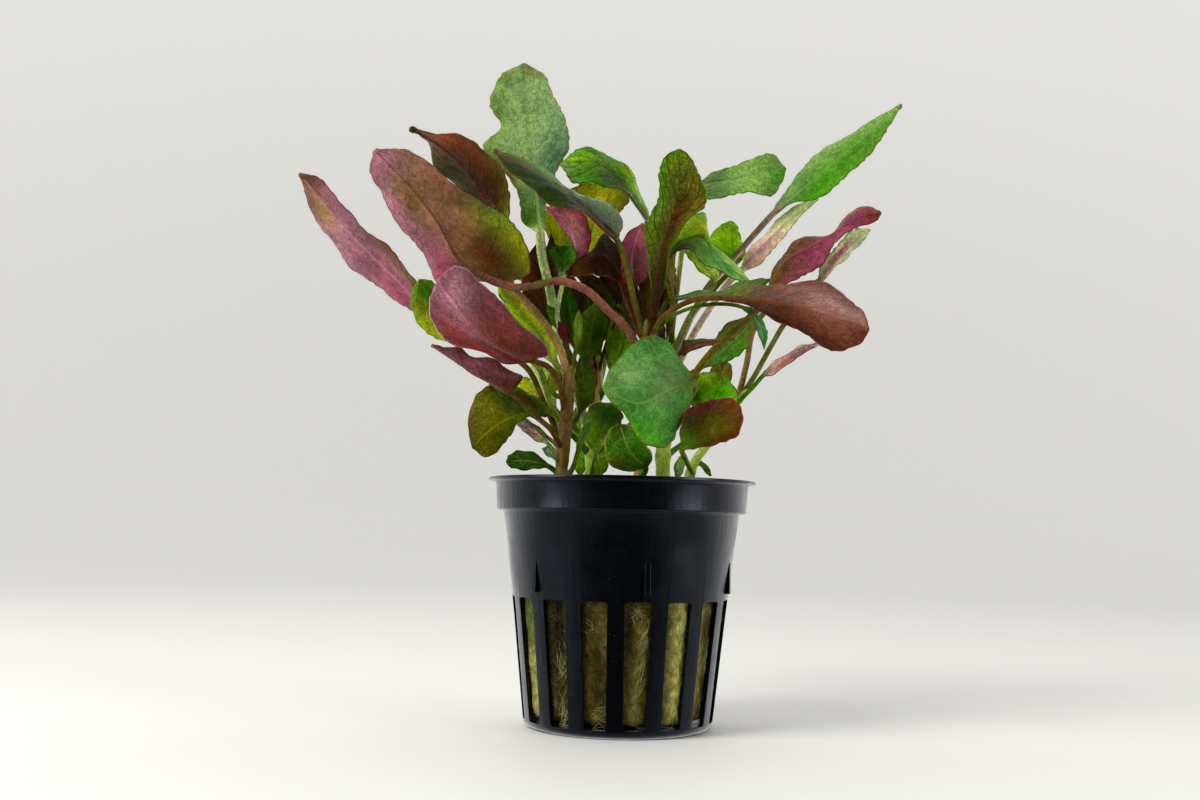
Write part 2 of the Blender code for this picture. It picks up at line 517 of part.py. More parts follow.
def build_leaf(leaf, stem, collection):
    rings, tip = leaf_rings(leaf, stem)

    def fill(shape):
        loops = [[shape.verts.new(point) for point in ring] for ring in rings]
        end = shape.verts.new(tip)
        for lower, upper in zip(loops, loops[1:]):
            for step in range(8):
                following = (step + 1) % 8
                shape.faces.new((lower[step], lower[following], upper[following], upper[step]))
        for step in range(8):
            shape.faces.new((loops[-1][step], loops[-1][(step + 1) % 8], end))
        shape.faces.new(reversed(loops[0]))

    item = mesh_object(leaf.name, fill, collection)
    item.data.materials.append(finish(leaf.name + "_finish", leaf.colour, 0.4))
    return item


def build_stem(stem, collection):
    """Round tapering stem, from just above the wool to where its top leaves part."""
    points = [seen(*point) for point in stem.points]
    curve = bpy.data.curves.new(stem.name, "CURVE")
    curve.dimensions = "3D"
    curve.bevel_depth = MM
    curve.bevel_resolution = STEM_SIDES_RESOLUTION
    curve.use_fill_caps = True
    spline = curve.splines.new("POLY")
    spline.points.add(STEM_RINGS - 1)
    for step, point in enumerate(spline.points):
        share = step / (STEM_RINGS - 1)
        point.co = (*along(points, share), 1.0)
        point.radius = stem.foot_radius + (stem.top_radius - stem.foot_radius) * share
    item = bpy.data.objects.new(stem.name, curve)
    collection.objects.link(item)
    curve.materials.append(finish(stem.name + "_finish", stem.colour, 0.45))
    return item


def wall_radius(height):
    """Outer radius of the pot's body at a height between its foot and its shoulder."""
    if height > SLOT_TOP:
        share = (height - SLOT_TOP) / (COLLAR_FOOT - SLOT_TOP)
        return SLOT_TOP_RADIUS + (SHOULDER_RADIUS - SLOT_TOP_RADIUS) * share
    share = (height - SLOT_FOOT) / (SLOT_TOP - SLOT_FOOT)
    return SLOT_FOOT_RADIUS + (SLOT_TOP_RADIUS - SLOT_FOOT_RADIUS) * share


def pot_profile():
    """Half section of the pot: inner floor, inner wall, rim, outer wall, underside."""
    collar_inner = COLLAR_RADIUS - WALL
    rim_under = POT_HEIGHT - RIM_THICKNESS
    return [
        (0, FLOOR), (SLOT_FOOT_RADIUS - WALL - 1.2, FLOOR), (SLOT_FOOT_RADIUS - WALL, FLOOR + 1.2),
        (SLOT_TOP_RADIUS - WALL, SLOT_TOP), (SHOULDER_RADIUS - WALL, COLLAR_FOOT - 0.8),
        (collar_inner - 0.3, COLLAR_FOOT + 0.6), (collar_inner, POT_HEIGHT),
        (RIM_RADIUS, POT_HEIGHT), (RIM_RADIUS, rim_under), (COLLAR_RADIUS + 0.4, rim_under),
        (COLLAR_RADIUS, rim_under - 0.6), (COLLAR_RADIUS - 0.3, COLLAR_FOOT),
        (SHOULDER_RADIUS, COLLAR_FOOT - 0.5), (SLOT_TOP_RADIUS, SLOT_TOP),
        (SLOT_FOOT_RADIUS, SLOT_FOOT), (SLOT_FOOT_RADIUS - 0.6, 0.5), (BASE_RADIUS, 0), (0, 0),
    ]


def wedge(shape, angle, inner, outer, foot, top, inner_foot, outer_foot, inner_top, outer_top):
    """Block along a radius, with its own width at each of its four upright corners' ends."""
    widths = {(-1, -1): inner_foot, (1, -1): outer_foot, (-1, 1): inner_top, (1, 1): outer_top}
    corners = bmesh.ops.create_cube(shape, size=2)["verts"]
    for corner in corners:
        out, side, rise = (round(value) for value in corner.co)
        radius = outer if out > 0 else inner
        half = widths[(out, rise)] / 2 * side
        height = top if rise > 0 else foot
        corner.co = Vector((radius * math.sin(angle) + half * math.cos(angle),
                            -radius * math.cos(angle) + half * math.sin(angle), height)) * MM


def fill_slots(shape):
    """Upright slots in the wall, and a drain opening in the floor below each."""
    for step in range(SLOT_COUNT):
        angle = SLOT_PHASE + step * 2 * math.pi / SLOT_COUNT
        wedge(shape, angle, DRAIN_OUTER + 1, SLOT_TOP_RADIUS + 2, SLOT_FOOT, SLOT_TOP,
              SLOT_FOOT_WIDTH, SLOT_FOOT_WIDTH, SLOT_TOP_WIDTH, SLOT_TOP_WIDTH)
        wedge(shape, angle, DRAIN_INNER, DRAIN_OUTER, -1, FLOOR + 0.2,
              DRAIN_INNER_WIDTH, DRAIN_OUTER_WIDTH, DRAIN_INNER_WIDTH, DRAIN_OUTER_WIDTH)


def fill_lugs(shape):
    """Small upright lugs whose face stays plumb while the wall behind them leans in."""
    face = wall_radius(LUG_TOP) + 0.1
    for step in range(LUG_COUNT):
        angle = LUG_PHASE + step * 2 * math.pi / LUG_COUNT
        wedge(shape, angle, wall_radius(LUG_FOOT) - WALL / 2, face, LUG_FOOT, LUG_TOP,
              LUG_WIDTH, LUG_WIDTH, LUG_WIDTH, LUG_WIDTH)


def build_pot(collection, cutters):
    profile = pot_profile()

    def fill(shape):
        points = [shape.verts.new((radius * MM, 0, height * MM)) for radius, height in profile]
        for before, after in zip(points, points[1:]):
            shape.edges.new((before, after))

    pot = mesh_object("pot", fill, collection)
    turn = pot.modifiers.new("turned wall", "SCREW")
    turn.axis = "Z"
    turn.angle = 2 * math.pi
    turn.steps = POT_STEPS
    turn.render_steps = POT_STEPS
    turn.use_merge_vertices = True
    turn.merge_threshold = 1e-5
    turn.use_smooth_shade = True
    for name, fill_tool, operation in (("pot_lugs", fill_lugs, "UNION"),
                                       ("pot_slots", fill_slots, "DIFFERENCE")):
        tool = mesh_object(name, fill_tool, cutters)
        tool.hide_render = True
        tool.display_type = "WIRE"
        cut = pot.modifiers.new(name, "BOOLEAN")
        cut.operation = operation
        cut.solver = "EXACT"
        cut.object = tool
    pot.data.materials.append(finish("pot_finish", "pot", 0.3))
    return pot


def build_wool(collection):
    """Rock wool plug: a lumpy round block that fills the pot below its collar."""
    middle = (WOOL_TOP + WOOL_FOOT) / 2
    half_height = (WOOL_TOP - WOOL_FOOT) / 2

    def fill(shape):
        bmesh.ops.create_uvsphere(shape, u_segments=WOOL_SEGMENTS, v_segments=WOOL_RINGS, radius=1)
        for vertex in shape.verts:
            turn = math.atan2(vertex.co.y, vertex.co.x)
            rise = math.copysign(abs(vertex.co.z) ** WOOL_SQUARENESS, vertex.co.z)
            spread = min(1.0, math.hypot(vertex.co.x, vertex.co.y)) ** WOOL_SQUARENESS
            if math.hypot(vertex.co.x, vertex.co.y) < 1e-4:
                spread = 0.0
            share = (rise + 1) / 2
            radius = WOOL_FOOT_RADIUS + (WOOL_TOP_RADIUS - WOOL_FOOT_RADIUS) * share
            lumps = 0.25 * math.sin(5 * turn + 3 * share) + 0.2 * math.sin(9 * turn - 7 * share)
            radius = (radius + lumps) * spread
            height = middle + half_height * rise
            vertex.co = Vector((radius * math.cos(turn), radius * math.sin(turn), height)) * MM

    wool = mesh_object("rock_wool", fill, collection)
    wool.data.materials.append(finish("rock_wool_finish", "wool", 0.95))
    return wool


def main():
    clear_scene()
    parts = new_collection(NAME)
    cutters = new_collection("cutters")
    build_pot(parts, cutters)
    build_wool(parts)
    stems = {stem.name: stem for stem in STEMS}
    for stem in STEMS:
        build_stem(stem, parts)
    for leaf in LEAVES:
        build_leaf(leaf, stems[leaf.stem], parts)
    for item in parts.objects:
        if item.type == "MESH":
            item.data.shade_smooth()
            item.data.set_sharp_from_angle(angle=math.radians(40))


main()
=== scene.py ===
"""Potted cardinal flower, dressed for a studio picture.

The frame gives the solids of the pot, the rock wool, the stems and the leaves. This script puts a
finely modelled piece in the place of each one: leaves with two faces, stalks, ribs, quilting and
wavy margins, a moulded net pot and a fibrous plug. It adds the plug's loose fibres and the small
leaves between the stems. Pieces are in metres and stand in the frame's axes. The named sizes below
are in millimetres.
"""

import json
import math
from collections import namedtuple
from types import SimpleNamespace

import bmesh
import bpy
import numpy as np
from bpy.props import FloatProperty, FloatVectorProperty, IntProperty, PointerProperty
from bpy.types import Operator, Panel, PropertyGroup
from mathutils import Matrix, Vector


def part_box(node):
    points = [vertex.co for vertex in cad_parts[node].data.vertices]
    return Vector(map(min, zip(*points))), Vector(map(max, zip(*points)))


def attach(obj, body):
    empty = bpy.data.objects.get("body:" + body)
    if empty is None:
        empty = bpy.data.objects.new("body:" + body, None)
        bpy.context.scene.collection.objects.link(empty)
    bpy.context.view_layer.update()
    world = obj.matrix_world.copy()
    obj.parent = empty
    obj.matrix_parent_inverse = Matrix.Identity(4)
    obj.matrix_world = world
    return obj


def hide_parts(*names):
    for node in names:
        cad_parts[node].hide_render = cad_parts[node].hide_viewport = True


bl_info = {
    "name": "Potted Cardinal Flower",
    "version": (1, 0, 0),
    "blender": (4, 5, 0),
    "location": "View3D > Sidebar > Cardinal Flower",
    "description": "Builds a young cardinal flower in a slotted net pot",
    "category": "Add Mesh",
}

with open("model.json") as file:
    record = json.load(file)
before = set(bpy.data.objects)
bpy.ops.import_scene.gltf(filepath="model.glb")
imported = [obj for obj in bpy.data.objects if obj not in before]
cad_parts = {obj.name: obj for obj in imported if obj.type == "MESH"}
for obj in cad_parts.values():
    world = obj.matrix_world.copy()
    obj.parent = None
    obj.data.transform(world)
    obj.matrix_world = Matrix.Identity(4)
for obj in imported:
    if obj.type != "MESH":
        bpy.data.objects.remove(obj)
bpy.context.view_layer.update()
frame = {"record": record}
POT_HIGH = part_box("pot")[1]
WOOL_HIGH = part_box("rock_wool")[1]
SLOTS = {row["node"]: row["material_slot"] for row in frame["record"]["subparts"]}
SMALL_LEAF_SLOT = "leaf_bright_green"
BODY = "root"
MM = 0.001
FULL_TURN = 2 * math.pi

# The camera's eye stands in front of the pot's axis, a little below the pot's rim.
EYE_DISTANCE = 280.0
EYE_HEIGHT = 40.2
EYE = np.array((0.0, -280.5, EYE_HEIGHT))
AIM = np.array((-4.913, 0.0, 66.56))
ROLL = 0.021
LENS = 40.617
SENSOR = 36.0

# Seeds of the random draws, so that every run gives the same shapes. Each leaf adds its place in
# the list of leaves to its own.
WOOL_SEED = 11
FIBRE_SEED = 23
LEAF_SEED = 100

# Stems and leaves are drawn as they show from the front: (across, up) in the upright plane
# through the pot's axis, then the depth behind that plane. A leaf grows from its stem at a height
# and has the points of its stalk, its rib, its left edge and its right edge, from base to tip.
Stem = namedtuple("Stem", "name foot_radius top_radius points")
Leaf = namedtuple("Leaf", "name stem height stalk rib left right look")

# How a leaf looks: the face that shows from the front (from behind for the back leaves), the
# colours of its upper face, underside, stalk, veins and rim, the stalk's width in millimetres, how
# strongly the side veins show, how bright the shown face is painted, and soft dabs of colour on it.
# The brightness also holds painted light and painted shade: it lifts leaves that lie in shade deep
# in the plant, to stand for the light that shines through them, and lowers the long folded leaf's
# shaded fold.
# A dab is a colour, its place along the blade (0 base, 1 tip) and across it (-1 left edge, 1 right
# edge), and its reach along and across.
Look = namedtuple("Look", "facing upper under stalk vein rim width veins tone dabs", defaults=[()])

STEMS = [
    Stem("left", 1.25, 1, [(-12.9, 44.2, -8), (-12.4, 55, -9), (-12.1, 60, -9.5), (-11.7, 65, -10),
         (-11.3, 70.5, -10.5)]),
    Stem("centre", 1.3, 0.9, [(3.5, 44.2, -5), (4, 60, -6), (4.2, 72, -7), (4.4, 80.5, -7)]),
    Stem("back", 1.4, 1, [(-6.6, 44.2, 6), (-6.3, 58, 7), (-5.8, 68, 8), (-5.5, 73, 9)]),
    Stem("middle", 1.6, 1.1, [(8.6, 44.2, 3), (8.4, 57, 4), (9, 70, 5), (9.6, 78.5, 6)]),
    Stem("right", 1, 0.7, [(13, 44.2, -4), (14.5, 53, -6), (18, 58.5, -7), (21.5, 64, -8),
         (23.6, 66.8, -8)]),
]

# Leaves that each take the place of a node.
LEAVES = [
    Leaf("far_left", "left", 57, [(-16.6, 66, -4), (-20.3, 73, -3), (-30, 79, 0)],
         [(-40, 83, 3), (-47, 90.5, 3), (-54.5, 97.5, 2), (-62, 105, 0), (-69.8, 113.8, -3)],
         [(-46, 85.3, 7), (-53, 89.8, 8), (-61, 97, 7), (-66.5, 105, 4)],
         [(-44, 91, -1), (-49, 96.7, -2), (-55, 102, -3), (-60.5, 107, -4), (-65, 112.6, -4)],
         Look("under", "forest", "mauve", "brown", "rose", "wine", 1.3, 0.14, 1.2, [
             ("pale_mauve", 0.55, -1, 0.5, 0.4), ("violet", 0.2, -0.5, 0.2, 0.6),
             ("olive", 0.12, 0.9, 0.2, 0.6), ("brown", 0.38, 0.95, 0.2, 0.4),
             ("tan", 0.8, -0.4, 0.12, 0.5), ("brown", 1, 0.1, 0.16, 1.4)])),
    Leaf("left_green", "left", 59.5, [(-15.6, 67, -4), (-18.2, 73.5, -5), (-24, 77, -5)],
         [(-31, 78, -5), (-37, 82, -5), (-41, 87, -5), (-43.4, 91.4, -5)],
         [(-36, 77.8, -4), (-41, 79.5, -4), (-45, 84.8, -4), (-45, 89, -4)],
         [(-34, 83, -5), (-37, 88, -5), (-41, 91.2, -5)],
         Look("upper", "brass", "pale_green", "straw", "vivid", "green", 1.2, 0.21, 1.35, [
             ("forest", 0.85, 0.1, 0.35, 1.2)])),
    Leaf("left_lime", "left", 69, [],
         [(-14.6, 74.5, -4), (-17.8, 80, -3), (-22, 85.5, -2), (-27, 90.5, -1)],
         [(-18, 76, -5), (-22, 81.5, -4), (-26.5, 88, -2)],
         [(-14.8, 79, -3), (-19, 85, -2), (-23.5, 90.3, -1)],
         Look("upper", "lime", "pale_green", "straw", "straw", "brown", 1.5, 0.14, 2.1, [
             ("straw", 0.05, -0.5, 0.2, 0.8), ("olive", 0.75, 0, 0.4, 0.6),
             ("brass", 0.4, 0.2, 0.3, 0.6)])),
    Leaf("big_left", "centre", 75,
         [(0.5, 81.5, -10), (-3.5, 85.3, -12), (-8.5, 89.8, -14), (-14.5, 91.5, -15), (-20.5, 90.2, -16)],
         [(-25, 90.2, -16), (-35, 95.5, -17), (-40, 103.5, -17), (-46, 111, -15), (-54, 119, -12)],
         [(-31, 91.2, -12), (-40, 90.8, -9), (-43.5, 97.5, -8), (-50, 105.5, -8), (-54.8, 114, -9)],
         [(-20, 93.5, -11), (-21.5, 100, -8), (-28.5, 107.3, -6), (-38, 112.8, -7), (-47, 119.3, -9)],
         # The mauve and violet over the left half and at the tip are painted sheen: the main light's
         # reflection on the olive underside.
         Look("under", "green", "olive", "rosewood", "maroon", "wine", 1.6, 0.2, 1.22, [
             ("mauve", 0.6, -1, 0.5, 0.6), ("violet", 0.34, -0.5, 0.17, 0.5), ("mauve", 1, 0, 0.25, 1.1),
             ("rosewood", 0.68, 0.9, 0.17, 0.5), ("umber", 0.07, 0.1, 0.14, 0.7),
             ("moss", 0.42, 0.9, 0.1, 0.25), ("rosewood", 0.5, 0.15, 0.16, 0.35),
             ("brass", 0.27, 1, 0.12, 0.25), ("brown", 0.66, -0.2, 0.12, 0.3),
             ("maroon", 0.25, 0.4, 0.12, 0.25)])),
    Leaf("low_left", "left", 64, [(-13.8, 70.5, -14), (-16, 73.4, -17)],
         [(-19, 74.5, -20), (-26, 77, -24), (-32, 82, -27), (-39.5, 91.5, -29)],
         [(-24, 73.9, -17), (-32, 76.5, -19), (-39, 79.5, -22), (-41.2, 86.5, -26)],
         [(-15.8, 76.2, -16), (-20, 81, -17), (-25, 85.5, -19), (-30, 91, -22), (-36, 94.2, -26)],
         Look("under", "forest", "plum", "brown", "rosewood", "rose", 1.2, 0.16, 1.12, [
             ("mauve", 0.9, -0.1, 0.36, 1.3), ("wine", 0, 0, 0.25, 1.4),
             ("pale_mauve", 0.8, 0.2, 0.12, 0.5), ("brick", 0.35, 0.4, 0.3, 0.6),
             ("crimson", 0.5, -0.7, 0.25, 0.3)])),
    Leaf("low_left_narrow", "left", 56, [(-15, 60, -13), (-19.5, 64.4, -15)],
         [(-23.5, 67.5, -14), (-30, 70.8, -15), (-35, 73.8, -16), (-40.5, 77.5, -17)],
         [(-21.2, 71.3, -10), (-26, 74, -9), (-33, 76.2, -10), (-38, 77.3, -14)],
         [(-26, 69.6, -8), (-31, 71.8, -7), (-37, 75.2, -11)],
         Look("under", "forest", "plum", "brown", "rosewood", "aubergine", 0.9, 0.21, 1.15, [
             ("aubergine", 0.5, -1, 0.6, 0.35), ("violet", 0.7, -0.35, 0.3, 0.35),
             ("mauve", 0.75, 0.4, 0.4, 0.5), ("maroon", 0.1, -0.6, 0.2, 0.7)])),
    Leaf("hanging_olive", "left", 58, [(-15.5, 60.8, -10)],
         [(-19.5, 63.4, -12), (-24, 62.3, -16), (-28, 59.5, -18), (-31.3, 56, -19)],
         [(-23, 64.4, -12), (-27.7, 69, -13.5), (-31.3, 66, -15), (-32.4, 61, -17)],
         [(-22, 61.2, -14), (-24.2, 57.5, -16), (-28, 54, -18)],
         Look("upper", "moss", "plum", "moss", "brass", "rust", 1.2, 0.2, 0.95, [
             ("deep_olive", 0.2, -0.7, 0.18, 0.6), ("lime", 0.1, 0.4, 0.12, 0.5),
             ("olive", 0.8, 0, 0.4, 1.4), ("brown", 0.85, -1, 0.3, 0.4)])),
    Leaf("hanging_dark", "left", 62, [],
         [(-15.2, 63.8, -7), (-20, 66.3, -7), (-24.5, 68, -7), (-28.3, 69.3, -7)],
         [(-16, 65.4, -6), (-20, 68, -5), (-25, 69.8, -6)],
         [(-16.5, 62.6, -8), (-20.5, 63.8, -8.5), (-26, 65.2, -8.5)],
         Look("upper", "green", "plum", "olive", "olive", "umber", 1.1, 0.21, 2.1, [
             ("deep_olive", 0.4, 0, 0.5, 1)])),
    Leaf("rim_left", "left", 51, [], [(-15.6, 52.7, -9), (-20, 53.6, -11), (-24.2, 53.3, -12)],
         [(-17.5, 55, -8), (-21, 55.8, -9), (-23.6, 54.8, -11)],
         [(-18, 51.8, -11), (-21.5, 51.7, -12), (-23.7, 52.4, -12.5)],
         Look("upper", "green", "olive", "green", "straw", "umber", 1, 0.21, 1, [
             ("forest", 0.95, 0, 0.25, 1), ("vivid", 0.45, -0.2, 0.25, 0.5)])),
    Leaf("top_left", "left", 70,
         [(-12.8, 75, -10), (-15.5, 80.5, -9), (-19, 85, -7), (-24, 90.5, -4), (-25.5, 97, -1)],
         [(-26, 103, 0), (-29.5, 108.5, 0), (-33, 113.5, -1), (-38, 118.5, -3), (-46.7, 124, -7)],
         [(-28.5, 104.5, 2), (-34.5, 109.5, 4), (-40.5, 115, 4), (-43, 120.8, 0)],
         [(-24.7, 107, 2), (-25.5, 113.3, 5), (-29.5, 118, 5), (-32.5, 121.6, 4), (-40, 122.8, -1)],
         Look("under", "pale_green", "deep_olive", "tan", "wine", "maroon", 1.5, 0.25, 1.25, [
             ("maroon", 0.5, 0.7, 0.4, 0.6), ("rust", 0.7, 0.6, 0.2, 0.5),
             ("wine", 0.15, -0.1, 0.12, 0.4), ("olive", 0.85, -0.5, 0.15, 0.4),
             ("brass", 0.04, 0.9, 0.12, 0.6), ("maroon", 0.8, -0.5, 0.12, 0.4),
             ("olive", 0.3, 1, 0.15, 0.35)])),
    Leaf("top_pale", "back", 58, [(-10.5, 70, 4), (-13.8, 80, 4), (-16, 90, 5), (-17.8, 97, 6)],
         [(-18.3, 102, 7), (-19.2, 110, 9), (-20.5, 120, 12), (-21.8, 130, 15), (-22.5, 138.4, 18)],
         [(-22, 103.8, 7), (-23.3, 110, 9), (-27.3, 116, 11), (-31, 119.8, 12), (-27.2, 124.2, 14),
          (-29.8, 129.5, 14), (-27, 136, 17)],
         [(-17, 108, 10), (-15, 115, 11), (-12.5, 120.8, 12), (-14, 127.5, 14), (-16.4, 132, 15),
          (-18, 135.6, 17)],
         Look("upper", "pale_green", "plum", "pale_lime", "soft_green", "tan", 2, 0.1, 0.95, [
             ("vivid", 0.04, -0.2, 0.14, 1), ("lime", 0, 0, 0.1, 1), ("sea_green", 0.35, 0.7, 0.25, 0.6),
             ("tan", 1.02, 0.6, 0.1, 0.7), ("soft_green", 0.6, -0.9, 0.4, 0.2),
             ("olive", 0.3, -1, 0.14, 0.2)])),
    Leaf("long_folded", "centre", 80, [(2.6, 85, -7), (1.5, 89, -8), (0, 95, -8)],
         [(-2, 100.5, -8), (-6, 104.3, -10), (-12, 109.5, -11), (-19, 114.5, -11), (-28.7, 119.4, -10)],
         [(-0.8, 104.3, -1), (-4.5, 108, 0), (-10, 110, 0), (-18, 115.2, -2), (-25, 118.6, -5)],
         [(-5, 103, -11), (-9, 106.2, -14), (-15.5, 107.6, -15), (-21, 111.3, -15), (-26, 115.5, -13)],
         # Black green paints the near half in shade; the grey green and soft green over the far half are a
         # painted sheen.
         Look("upper", "black_green", "plum", "brown", "rust", "rust", 1.4, 0.2, 0.85, [
             ("grey_green", 0.35, -0.75, 0.35, 0.5), ("soft_green", 0.7, -0.75, 0.25, 0.5),
             ("umber", 0.05, 0.5, 0.14, 0.8), ("olive", 1, 0.2, 0.14, 0.8),
             ("forest", 0.55, 0.7, 0.3, 0.4)])),
    Leaf("top_arching", "middle", 77, [(9, 88, 7), (6.8, 97, 7)],
         [(4.7, 104.3, 8), (1.5, 109, 9), (-2.5, 113.8, 9), (-7, 117, 8), (-14.5, 116.5, 5)],
         [(3.8, 108, 12), (0.8, 115, 13), (-4.5, 119, 12), (-10.5, 120, 9)],
         [(2.6, 106.8, 7), (0, 110.5, 5), (-6, 112.3, 4), (-11.5, 112.8, 4)],
         Look("upper", "vivid", "pale_green", "brown", "forest", "umber", 1.3, 0.8, 1.15, [
             ("soft_green", 0.92, 0.5, 0.14, 0.8), ("lime", 0.3, -0.8, 0.3, 0.5),
             ("lime", 0.85, -0.3, 0.2, 0.3), ("moss", 0.5, 0.1, 0.3, 0.5),
             ("forest", 0.38, 0.6, 0.24, 0.5), ("olive", 0.02, 0, 0.14, 1.2)])),
    Leaf("olive_behind", "back", 73, [(-6.5, 83, 13)],
         [(-8.5, 94, 16), (-7.5, 102, 18), (-5, 108, 18), (-1, 111.8, 17)],
         [(-12.5, 97, 17), (-17, 101.5, 18), (-17.3, 106, 19), (-10.5, 112.2, 19)],
         [(-6, 97, 16), (-4.3, 101, 16), (-2, 105, 16), (0.3, 109, 16)],
         Look("upper", "olive", "plum", "olive", "brown", "brown", 1.3, 0.21, 2, [
             ("brass", 0.5, -0.3, 0.4, 0.9)])),
    Leaf("purple_inner", "back", 71, [(-7.5, 82, 7)],
         [(-9.8, 96, 6), (-10.8, 101.5, 5), (-13, 105, 4), (-17.3, 107.4, 3)],
         [(-11.5, 99.5, 7), (-14, 103.2, 7)],
         [(-7.9, 98, 5), (-7.7, 103, 4), (-9.8, 106.6, 3), (-14, 107, 3)],
         Look("under", "green", "violet", "umber", "rose", "wine", 1.1, 0.2, 2.1, [
             ("mauve", 0.35, -0.2, 0.3, 0.6), ("rosewood", 0.6, 0.2, 0.3, 0.3),
             ("wine", 0.4, 1, 0.4, 0.4)])),
    Leaf("funnel", "left", 65, [(-12, 76, -5), (-14.2, 84, -3)],
         [(-13.2, 91.8, -1), (-13, 95, 0), (-12.8, 99, 2)], [(-14.5, 93.8, 0), (-16.2, 98.3, 1)],
         [(-11.8, 94.5, -1), (-10.3, 96.3, -1), (-10.9, 98.7, 0)],
         Look("upper", "forest", "forest", "pale_lime", "green", "black_green", 1, 0.14, 1.5, [
             ("green", 0.6, 0.9, 0.3, 0.4)])),
    Leaf("maroon_curled", "centre", 79, [(0.5, 87, -4)],
         [(-1.2, 91.8, -3), (-4.5, 96.5, -4), (-8.5, 96.3, -6), (-12.8, 93.2, -8)],
         [(-1.5, 98.5, 0), (-4.3, 102, 0), (-7, 98.6, -3), (-11, 95.6, -7)],
         [(-4, 92.5, -6), (-8, 92.9, -7.5), (-11.5, 92.2, -8.5)],
         Look("under", "forest", "maroon", "maroon", "wine", "rust", 1.3, 0.2, 0.4, [
             ("black_green", 0.15, 0.4, 0.14, 0.6), ("moss", 0.5, -0.9, 0.12, 0.3),
             ("brown", 0.72, 0.2, 0.2, 0.8)])),
    Leaf("purple_centre", "centre", 77, [(4, 85, 0)], [(2, 90.5, 1), (1.3, 97, 3), (3.3, 104.2, 4)],
         [(-2.3, 92.5, 3), (-2.2, 97.5, 4), (-0.3, 101.5, 4)], [(4.8, 93, 1), (5, 99, 2), (4.3, 103, 3.5)],
         Look("under", "green", "plum", "umber", "rose", "wine", 1.1, 0.2, 1.75, [
             ("violet", 0.75, -0.3, 0.3, 0.6), ("maroon", 0.08, -0.3, 0.3, 0.9)])),
    Leaf("tall_olive", "centre", 78, [(6, 83, -8)],
         [(6.3, 88, -8), (7, 95.5, -7), (9.2, 104, -4), (10.8, 111, -2), (10.8, 120.2, 2)],
         [(5, 92, -7), (4, 100, -4), (3.6, 104, -3), (6.6, 110, -1), (6.4, 115, 0), (8, 119, 2)],
         [(8.3, 91, -7), (9.2, 98.5, -6), (12.5, 104, -6), (16.6, 109, -4), (15, 115, -1),
          (12.8, 119.2, 1)],
         Look("under", "green", "deep_olive", "umber", "umber", "moss", 1.4, 1.3, 1.3, [
             ("moss", 0.5, -0.9, 0.4, 0.6), ("moss", 0.98, 0, 0.22, 1.3), ("olive", 0.55, 0.8, 0.3, 0.4),
             ("maroon", 0.5, 0.2, 0.12, 0.2), ("umber", 0.08, 0, 0.18, 1.2),
             ("vivid", 0.75, -1, 0.2, 0.3)])),
    Leaf("folded_right", "middle", 78, [(9.5, 88, 3)],
         [(8, 95.5, 0), (11, 100, 1), (15.5, 101.3, 1), (19, 97.3, -1), (26.6, 91, -5)],
         [(10.5, 103.5, 3), (15.7, 106.6, 5), (17, 101.8, 4), (21, 97.4, 1), (24.5, 94.2, -2)],
         [(11.5, 98.8, -2), (15.5, 96.2, -4), (19.5, 94, -5), (22.7, 92.8, -5)],
         # The deep olive on the lower half near the base is painted shade.
         Look("upper", "fresh_green", "plum", "olive", "umber", "umber", 1.4, 0.3, 1.65, [
             ("lime", 0.22, -0.7, 0.16, 0.5), ("soft_green", 0.8, 0, 0.3, 1.2),
             ("jade", 0.7, 0.4, 0.3, 0.5), ("deep_olive", 0.2, 0.7, 0.28, 0.7),
             ("brass", 0.4, -0.4, 0.14, 0.4)])),
    Leaf("small_bright", "middle", 71, [(14, 84.5, 12), (19, 91, 14)],
         [(22.5, 95.5, 14), (22.3, 100, 15), (21.8, 105, 16)],
         [(19.5, 97.5, 14), (17.3, 101, 16), (19.3, 103.8, 17)],
         [(25, 97.7, 14), (24, 101.5, 15), (23, 104.3, 16)],
         Look("upper", "lime", "pale_green", "olive", "vivid", "green", 1.2, 0.28, 1.1, [
             ("vivid", 0.1, 0, 0.3, 1)])),
    Leaf("lime_right", "middle", 75, [(12.8, 83, 4), (16.2, 88.7, 4)],
         [(18.6, 92.3, 4), (16, 95.2, 4), (12, 98.8, 4)], [(15.2, 94.2, 3), (13, 97, 3)],
         [(19.5, 94.3, 5), (17, 97, 6), (13.5, 99.3, 5)],
         Look("upper", "lime", "pale_green", "straw", "lime", "green", 1.3, 0.21, 2.2, [
             ("straw", 0.3, 0.3, 0.4, 0.6)])),
    Leaf("soft_upper_right", "middle", 78, [(10.8, 90, 12), (12.5, 104, 17)],
         [(15, 111.7, 18), (20, 113.3, 19), (26, 114.8, 20), (33.4, 116.3, 21)],
         [(17, 114.9, 19), (22, 116.6, 20), (26, 118.5, 21), (30.5, 119.4, 22)],
         [(17, 109.3, 18), (21, 110.2, 18), (26, 111, 19), (30.5, 110.5, 19), (32.7, 113.8, 20)],
         Look("upper", "soft_green", "mauve", "straw", "pale_green", "green", 1.3, 0.14, 1.2, [
             ("grey_green", 0.15, 0, 0.3, 1), ("vivid", 0.95, 0.5, 0.2, 0.6)])),
    Leaf("big_right", "middle", 73, [(12.3, 81, 7), (16.8, 90.3, 7), (22.5, 97, 8), (27, 102.5, 9)],
         [(31, 107, 10), (37, 112.3, 11), (45, 119.3, 12), (57.8, 130.7, 13)],
         [(31.8, 109.5, 14), (36, 115.6, 15), (42.5, 121.6, 16), (50, 126.2, 15)],
         [(34.5, 108.8, 9), (40, 110, 9), (46, 114.7, 10), (51.5, 120.3, 12), (55, 125.7, 13)],
         Look("upper", "fresh_green", "plum", "rose", "soft_green", "green", 1.5, 0.12, 1.08, [
